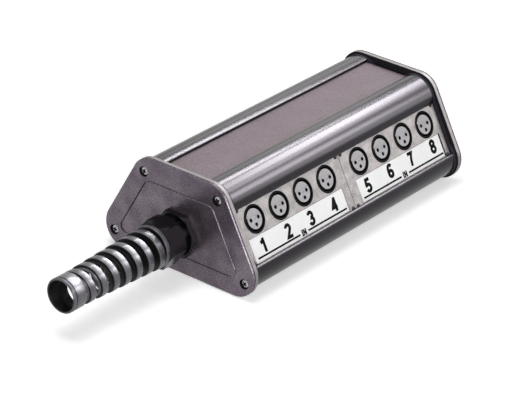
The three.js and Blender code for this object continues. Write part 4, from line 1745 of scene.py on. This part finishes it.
@dataclass
class CableGland:
    """The gland's fixed body, with its hexagon, collar and spigot."""

    height: float = 32.5
    hexagon_flats: float = 33.0
    hexagon_length: float = 5.0
    chamfer: float = 2.2
    chamfer_length: float = 1.2
    clearance: float = 0.1
    collar: float = 29.5
    collar_length: float = 5.8
    collar_edge: float = 0.8
    neck: float = 0.5
    spigot: float = 24.4
    spigot_length: float = 11.4
    relief: float = 0.4
    thread: float = 24.8
    thread_end: float = 13.5
    thread_edge: float = 1.0
    ridge_pitch: float = 1.5
    ridge: Tuple[Point2, ...] = ((0.0, 0.45), (0.5, 0.0), (0.8, 0.0), (1.3, 0.45))
    ridge_runout: float = 0.6
    bore: float = 18.0
    seal_seat: float = 20.4
    seal_length: float = 9.4
    seal_gap: float = 0.3

    @property
    def place(self) -> Matrix:
        """The gland's frame, along its own axis."""
        return moved(TO_ROW, 0, 0, self.height)

    def build(self) -> None:
        """Builds and dresses the body and keeps the inner pieces."""
        seat = -FIELD_HEIGHT
        front = seat - self.hexagon_length
        collar_end = front - self.collar_length
        spigot_end = collar_end - self.spigot_length
        body = self._hexagon(front, seat)
        rows = self._barrel_rows(front, collar_end, spigot_end)
        joined(body, [turned("gland_barrel", rows, Round.BARREL, self.place)], "UNION")
        rows = self._bore_rows(spigot_end)
        joined(body, [turned("gland_bore", rows, Round.BARREL, self.place)], "DIFFERENCE")
        dressed(body, GLAND_BLACK, Body.BOX, ["gland_body"], Crease.HEXAGON)
        kept("gland_locknut", GLAND_BLACK)
        kept("gland_seal", SEAL_RUBBER)
        kept("gland_slip_ring", GLAND_BLACK)

    def _hexagon(self, front: float, seat: float) -> bpy.types.Object:
        """Makes the hexagon with its front corners turned off.

        Args:
            front: Where it starts along the axis.
            seat: Where it ends, on the end plate.

        Returns:
            The piece.
        """
        flats = hexagon(self.hexagon_flats)
        body = drawn_out("gland_body_dressed", flats, front, seat, self.place)
        corner = hexagon_corner(self.hexagon_flats)
        rows = [
            (front, 0),
            (front, corner - self.chamfer),
            (front + self.chamfer_length, corner + self.clearance),
            (seat + OVERRUN, corner + self.clearance),
            (seat + OVERRUN, 0),
        ]
        cone = turned("hexagon_cone", rows, Round.FINE, self.place)
        return joined(body, [cone], "INTERSECT")

    def _barrel_rows(self, front: float, collar_end: float, spigot_end: float) -> List[Point2]:
        """Draws the profile of the spigot, the collar and the barrel through the plate.

        Args:
            front: Where the hexagon starts.
            collar_end: Where the collar starts.
            spigot_end: Where the spigot starts.

        Returns:
            The profile.
        """
        spigot, collar, thread = self.spigot / 2, self.collar / 2, self.thread / 2
        start, end = spigot_end + self.thread_edge, collar_end - self.ridge_runout
        rows = [(spigot_end, 0.0), (spigot_end, spigot - self.thread_edge)]
        for i in range(int((end - start) / self.ridge_pitch)):
            ridge_start = start + self.ridge_pitch * i
            rows += [(ridge_start + along, spigot - depth) for along, depth in self.ridge]
        return rows + [
            (collar_end, spigot - self.relief),
            (collar_end, collar - self.collar_edge),
            (collar_end + self.collar_edge, collar),
            (front + self.neck, collar),
            (-FIELD_HEIGHT - self.neck, thread),
            (self.thread_end - self.thread_edge, thread),
            (self.thread_end, thread - self.thread_edge),
            (self.thread_end, 0.0),
        ]

    def _bore_rows(self, spigot_end: float) -> List[Point2]:
        """Draws the profile of the bore and the seal's seat.

        Args:
            spigot_end: Where the spigot starts.

        Returns:
            The cutter's profile.
        """
        seat, bore = self.seal_seat / 2, self.bore / 2
        start, end = spigot_end - OVERRUN, self.thread_end + OVERRUN
        seat_end = spigot_end + self.seal_length + self.seal_gap
        return [
            (start, 0), (start, seat), (seat_end, seat), (seat_end, bore), (end, bore), (end, 0),
        ]


@dataclass
class BendGuard:
    """The cap nut moulded in one with the spiral bend guard and its end ring."""

    place: Matrix
    back: float = -11.9
    nut_flats: float = 33.0
    nut_length: float = 16.5
    nut_turn: float = 4.5
    nut_chamfer: float = 2.4
    nut_edge: float = 0.25
    nut_edge_degrees: float = 25.0
    dome_front: float = 0.55
    dome_back: float = 0.45
    dome_drop: float = 0.35
    shoulder: float = 3.5
    root_outer: float = 32.8
    tip_outer: float = 26.4
    bore: float = 20.2
    mouth: float = 22.8
    flare: float = 1.1
    spiral_length: float = 80.3
    taper_length: float = 75.0
    pitch: float = 11.55
    band: float = 6.0
    band_round: float = 0.55
    band_steps: int = 5
    crown: float = 0.05
    overlap: float = 0.1
    phase_x: float = 6.5
    phase: float = math.radians(100)
    ring_length: float = 12.3
    lip_round: float = 0.8
    lip_steps: int = 6
    groove_place: float = 2.0
    groove_width: float = 1.0
    groove_wall: float = 0.15
    edge: float = 0.5
    edge_middle: float = 0.15
    throat: float = 17.6
    throat_length: float = 2.5
    seat: float = -25.1
    spigot_bore: float = 25.0
    steps_per_turn: int = 72
    # limits of the faces that are painted as the nut and as shade on the inside
    nut_margin: float = 0.1
    least_inward: float = 0.2
    gap_facing: float = 0.55
    gap_margin: float = 1.0

    @property
    def front(self) -> float:
        """Where the hexagon ends."""
        return self.back - self.nut_length

    @property
    def root(self) -> float:
        """Where the spiral leaves the shoulder."""
        return self.front - self.shoulder

    def radius(self, distance: float) -> float:
        """Returns the tapered outer radius at a distance from the root."""
        share = min(max(distance / self.taper_length, 0.0), 1.0)
        return (self.root_outer + (self.tip_outer - self.root_outer) * share) / 2

    def band_section(self, outer: float, inner: float) -> List[Point2]:
        """Draws the band's section, wider at its foot and rounded on its outer corners.

        Args:
            outer: Its outer radius.
            inner: Its inner radius.

        Returns:
            The section.
        """
        half, curve, foot = self.band / 2, self.band_round, self.band / 2 + self.flare
        middle = (inner + outer - curve) / 2
        return [
            (-foot, inner),
            (-half, middle),
            *arc((curve - half, outer - curve), curve, math.pi, math.pi / 2, self.band_steps),
            (0.0, outer + self.crown),
            *arc((half - curve, outer - curve), curve, math.pi / 2, 0, self.band_steps),
            (half, middle),
            (foot, inner),
            (0.0, inner),
        ]

    def spiral(self) -> bpy.types.Object:
        """Makes the spiral band as one unbroken piece.

        Returns:
            The piece.
        """
        start = self.band / 2 + self.overlap
        end = -self.spiral_length - start
        turns = (start - end) / self.pitch
        steps = round(turns * self.steps_per_turn)
        first = self.phase + (start + self.phase_x) / self.pitch * math.tau
        inner = self.bore / 2 + self.overlap
        points, faces = [], []
        for i in range(steps + 1):
            share = i / steps
            along = start + (end - start) * share
            turn = first - turns * share * math.tau
            section = self.band_section(self.radius(-along) - self.crown, inner)
            for shift, radius in section:
                x = self.root + along + shift
                points.append((x, radius * math.cos(turn), radius * math.sin(turn)))
        count = len(section)
        for i in range(steps):
            for j in range(count):
                a, b = i * count + j, i * count + (j + 1) % count
                faces.append((a, b, b + count, a + count))
        faces.append(tuple(range(count)))
        faces.append(tuple(range((steps + 1) * count - 1, steps * count - 1, -1)))
        return new_piece("guard_spiral", points, faces, self.place)

    def nut(self) -> bpy.types.Object:
        """Makes the hexagonal nut with its domed ends, shoulder and bore.

        Returns:
            The piece.
        """
        outline = hexagon(self.nut_flats, self.nut_turn)
        name = "cap_nut_bend_guard_dressed"
        nut = drawn_out(name, outline, self.front, self.back, self.place)
        dome = turned("nut_dome", self._dome_rows(), Round.FINE, self.place)
        joined(nut, [dome], "INTERSECT")
        softened(nut, self.nut_edge, 1, self.nut_edge_degrees)
        outer, foot = self.root_outer / 2, self.front + self.nut_chamfer
        rows = [
            (self.root, 0.0),
            (self.root, outer - self.edge),
            (self.root + self.edge_middle, outer - self.edge_middle),
            (self.root + self.edge, outer),
            (foot, outer),
            (foot, 0.0),
        ]
        joined(nut, [turned("nut_shoulder", rows, Round.FINE, self.place)], "UNION")
        bore = turned("nut_bore", self._bore_rows(), Round.FINE, self.place)
        return joined(nut, [bore], "DIFFERENCE")

    def _dome_rows(self) -> List[Point2]:
        """Draws the profile that rounds the hexagon's ends.

        Returns:
            The profile.
        """
        corner, chamfer = hexagon_corner(self.nut_flats), self.nut_chamfer
        middle, most = corner - chamfer * self.dome_drop, corner + self.crown
        return [
            (self.front, 0),
            (self.front, corner - chamfer),
            (self.front + chamfer * self.dome_front, middle),
            (self.front + chamfer, most),
            (self.back - chamfer, most),
            (self.back - chamfer * self.dome_back, middle),
            (self.back, corner - chamfer),
            (self.back, 0),
        ]

    def _bore_rows(self) -> List[Point2]:
        """Draws the profile of the bore, the throat and the spigot's room.

        Returns:
            The cutter's profile.
        """
        bore, throat, room = self.bore / 2, self.throat / 2, self.spigot_bore / 2
        start, end = self.root - OVERRUN, self.back + OVERRUN
        return [
            (start, 0),
            (start, bore),
            (self.root, bore),
            (self.seat - self.throat_length, throat),
            (self.seat, throat),
            (self.seat, room),
            (end, room),
            (end, 0),
        ]

    def end_ring(self) -> bpy.types.Object:
        """Makes the ring at the guard's mouth with its lip and groove.

        Returns:
            The piece.
        """
        ring = self.root - self.spiral_length
        mouth = ring - self.ring_length
        outer, inner, curve = self.tip_outer / 2, self.mouth / 2, self.lip_round
        groove = mouth + self.groove_place
        groove_end = groove + self.groove_width
        edge, middle = self.edge, self.edge_middle
        rows = [
            (mouth + edge, inner),
            (mouth + middle, inner + middle),
            (mouth, inner + edge),
            *arc((mouth + curve, outer - curve), curve, math.pi, math.pi / 2, self.lip_steps),
            (groove, outer),
            (groove + self.groove_wall, outer - edge),
            (groove_end - self.groove_wall, outer - edge),
            (groove_end, outer),
            (ring - edge, outer),
            (ring - middle, outer - middle),
            (ring, outer - edge),
            (ring, self.bore / 2),
            (mouth + edge, inner),
        ]
        return turned("guard_end_ring", rows, Round.FINE, self.place)

    def build(self) -> None:
        """Builds and dresses the guard as one piece."""
        guard = self.nut()
        joined(guard, [self.spiral(), self.end_ring()], "UNION")
        nodes = ["cap_nut_bend_guard"]
        # the outer faces have the lighter base that paints in the plastic's sheen
        dressed(guard, GUARD_SHEEN, Body.CAP_NUT, nodes, Crease.GUARD, flat=False)
        # the inward faces and the spiral's gaps are painted near black as shade
        repainted(guard, GUARD_INSIDE_SHADE, self._faces_inward)
        repainted(guard, GLAND_BLACK, self._on_nut)

    def _on_nut(self, face: bpy.types.MeshPolygon) -> bool:
        """Says whether a face belongs to the hexagonal nut."""
        return within(face, self.place)[0].x > self.front - self.nut_margin

    def _faces_inward(self, face: bpy.types.MeshPolygon) -> bool:
        """Says whether a face looks toward the axis or into a gap of the spiral, and so is
        painted as shade.

        Args:
            face: The face.

        Returns:
            Whether it does.
        """
        centre, _ = within(face, self.place)
        facing = face.normal.dot(Vector((0, centre.y, centre.z)).normalized())
        tip = self.root - self.spiral_length - self.gap_margin
        in_gap = tip < centre.x < self.root
        return facing < -self.least_inward or (in_gap and facing < self.gap_facing)


@dataclass(frozen=True)
class Lamp:
    """A soft rectangular lamp, in millimetres and watts."""

    name: str
    place: Point3
    size: Point2
    power: float
    gloss_only: bool = False

    def hang(self, aim: Point3) -> None:
        """Hangs the lamp.

        Args:
            aim: The spot that it faces.
        """
        data = bpy.data.lights.new(self.name, "AREA")
        data.shape = "RECTANGLE"
        data.size, data.size_y = self.size[0] * MM, self.size[1] * MM
        data.energy = self.power
        lamp = linked(self.name, data)
        lamp.location = Vector(self.place) * MM
        lamp.rotation_mode = "QUATERNION"
        away = Vector(aim) * MM - lamp.location
        lamp.rotation_quaternion = away.to_track_quat("-Z", "Y")
        lamp.visible_diffuse = not self.gloss_only


@dataclass
class Studio:
    """The camera, the lamps, the floor and the white surroundings."""

    eye: Point3 = (-1256.5, -1035.0, 909.9)
    forward: Point3 = (0.7028, 0.5392, -0.4641)
    right: Point3 = (0.6231, -0.7813, 0.0359)
    lens: float = 179.88
    sensor: float = 36.0
    clip: Point2 = (0.05, 30.0)
    ambient: float = 0.14
    floor_reach: float = 4.0
    floor_drop: float = 0.0003
    floor_share: float = 0.94
    floor_roughness: float = 0.9
    floor_specular: float = 0.1
    floor_lift: float = 0.46
    aim: Point3 = (60, 0, 40)
    lamps: Tuple[Lamp, ...] = (
        Lamp("lamp_gloss_streak", (1130, -65, 1080), (500, 250), 20.5, True),
        Lamp("lamp_gloss_left", (1130, 465, 1160), (340, 170), 10.5, True),
        Lamp("lamp_gloss_far_left", (1130, 850, 720), (400, 500), 1.2, True),
        Lamp("lamp_gloss_right", (1150, -520, 1060), (480, 240), 7.5, True),
        Lamp("lamp_gloss_fill", (1150, -330, 900), (900, 620), 4.6, True),
        Lamp("lamp_gloss_low", (1130, -1010, 730), (400, 430), 11.0, True),
        Lamp("lamp_gloss_lowest", (1130, -1010, 400), (420, 700), 6.5, True),
        Lamp("lamp_gloss_front", (-900, -850, 300), (700, 500), 10.0, True),
        Lamp("lamp_top_softbox", (-100, 150, 1450), (900, 900), 10.0),
        Lamp("lamp_front_left", (-1300, 400, 500), (700, 700), 1.4),
        Lamp("lamp_front_right", (-900, -800, 450), (500, 500), 2.2),
        Lamp("lamp_socket_side", (-100, -1250, 650), (800, 600), 5.0),
    )

    def build(self) -> None:
        """Sets up the camera, the lamps and the surroundings."""
        self._camera()
        self._world()
        self._floor()
        for lamp in self.lamps:
            lamp.hang(self.aim)
        bpy.context.scene.view_settings.view_transform = "Standard"

    def _camera(self) -> None:
        """Places the camera where the photograph was taken from."""
        data = bpy.data.cameras.new("camera")
        data.sensor_fit = "HORIZONTAL"
        data.sensor_width = self.sensor
        data.lens = self.lens
        data.clip_start, data.clip_end = self.clip
        camera = linked("camera", data)
        forward = Vector(self.forward).normalized()
        right = Vector(self.right).normalized()
        right = (right - forward * right.dot(forward)).normalized()
        up = right.cross(forward)
        spin = Matrix((right, up, -forward)).transposed().to_4x4()
        eye = Vector(self.eye) + Vector((NEAR_FACE, 0, 0))
        camera.matrix_world = Matrix.Translation(eye * MM) @ spin
        bpy.context.scene.camera = camera

    def _world(self) -> None:
        """Makes the surroundings white in view and in gloss, and dimmer as light."""
        world = bpy.data.worlds.new("surroundings")
        world.use_nodes = True
        bpy.context.scene.world = world
        tree = world.node_tree
        tree.nodes.remove(tree.nodes["Background"])
        level = self.ambient
        light = add_node(tree, "ShaderNodeBackground", {"Color": (level, level, level, 1)})
        white = add_node(tree, "ShaderNodeBackground", {"Color": WHITE})
        mix = add_node(tree, "ShaderNodeMixShader")
        tree.links.new(self._seen(tree), mix.inputs["Fac"])
        tree.links.new(light.outputs["Background"], mix.inputs[1])
        tree.links.new(white.outputs["Background"], mix.inputs[2])
        tree.links.new(mix.outputs["Shader"], tree.nodes["World Output"].inputs["Surface"])

    @staticmethod
    def _seen(tree: bpy.types.NodeTree) -> bpy.types.NodeSocket:
        """Tells rays that come from the camera, a gloss or a clear body from the rest.

        Args:
            tree: The node tree.

        Returns:
            The socket that holds 1 for such a ray, else 0.
        """
        path = add_node(tree, "ShaderNodeLightPath")
        value = path.outputs["Is Camera Ray"]
        for kind in ("Is Glossy Ray", "Is Transmission Ray"):
            either = add_node(tree, "ShaderNodeMath")
            either.operation = "MAXIMUM"
            tree.links.new(value, either.inputs[0])
            tree.links.new(path.outputs[kind], either.inputs[1])
            value = either.outputs["Value"]
        return value

    def _floor(self) -> None:
        """Lays the pale floor under the end plates."""
        mesh = bpy.data.meshes.new("floor")
        reach, share = self.floor_reach, self.floor_share
        signs = ((-1, -1), (1, -1), (1, 1), (-1, 1))
        corners = [(x * reach, y * reach, -self.floor_drop) for x, y in signs]
        mesh.from_pydata(corners, [], [(0, 1, 2, 3)])
        floor = linked("floor", mesh)
        paint = {"Base Color": (share, share, share, 1), "Roughness": self.floor_roughness}
        gloss = {"Specular IOR Level": self.floor_specular, "Emission Color": WHITE}
        material, shader = new_material("floor_white", {**paint, **gloss})
        self._lift(material.node_tree, shader)
        mesh.materials.append(material)

    def _lift(self, tree: bpy.types.NodeTree, shader: bpy.types.Node) -> None:
        """Lifts the floor toward white where it is seen or mirrored, and not as light.

        Args:
            tree: The floor material's node tree.
            shader: Its shader.
        """
        lift = add_node(tree, "ShaderNodeMath")
        lift.operation = "MULTIPLY"
        lift.inputs[1].default_value = self.floor_lift
        tree.links.new(self._seen(tree), lift.inputs[0])
        tree.links.new(lift.outputs["Value"], shader.inputs["Emission Strength"])


def main() -> None:
    """Builds every sub-assembly in order."""
    Rails().build()
    Panels().build()
    far = moved(TO_ROW, SECTION.length, 0, 0) @ Matrix.Rotation(math.pi, 4, "Z")
    for end, place, pierced in (("near", TO_ROW, True), ("far", far, False)):
        EndPlate(f"end_plate_{end}", place, pierced).build()
        EndScrews(end, place).build()
        kept(f"end_gasket_{end}", GASKET_BLACK)
    for index in range(2):
        SocketModule(index).build()
    gland = CableGland()
    gland.build()
    BendGuard(gland.place).build()
    Studio().build()


if __name__ == "__main__":
    main()
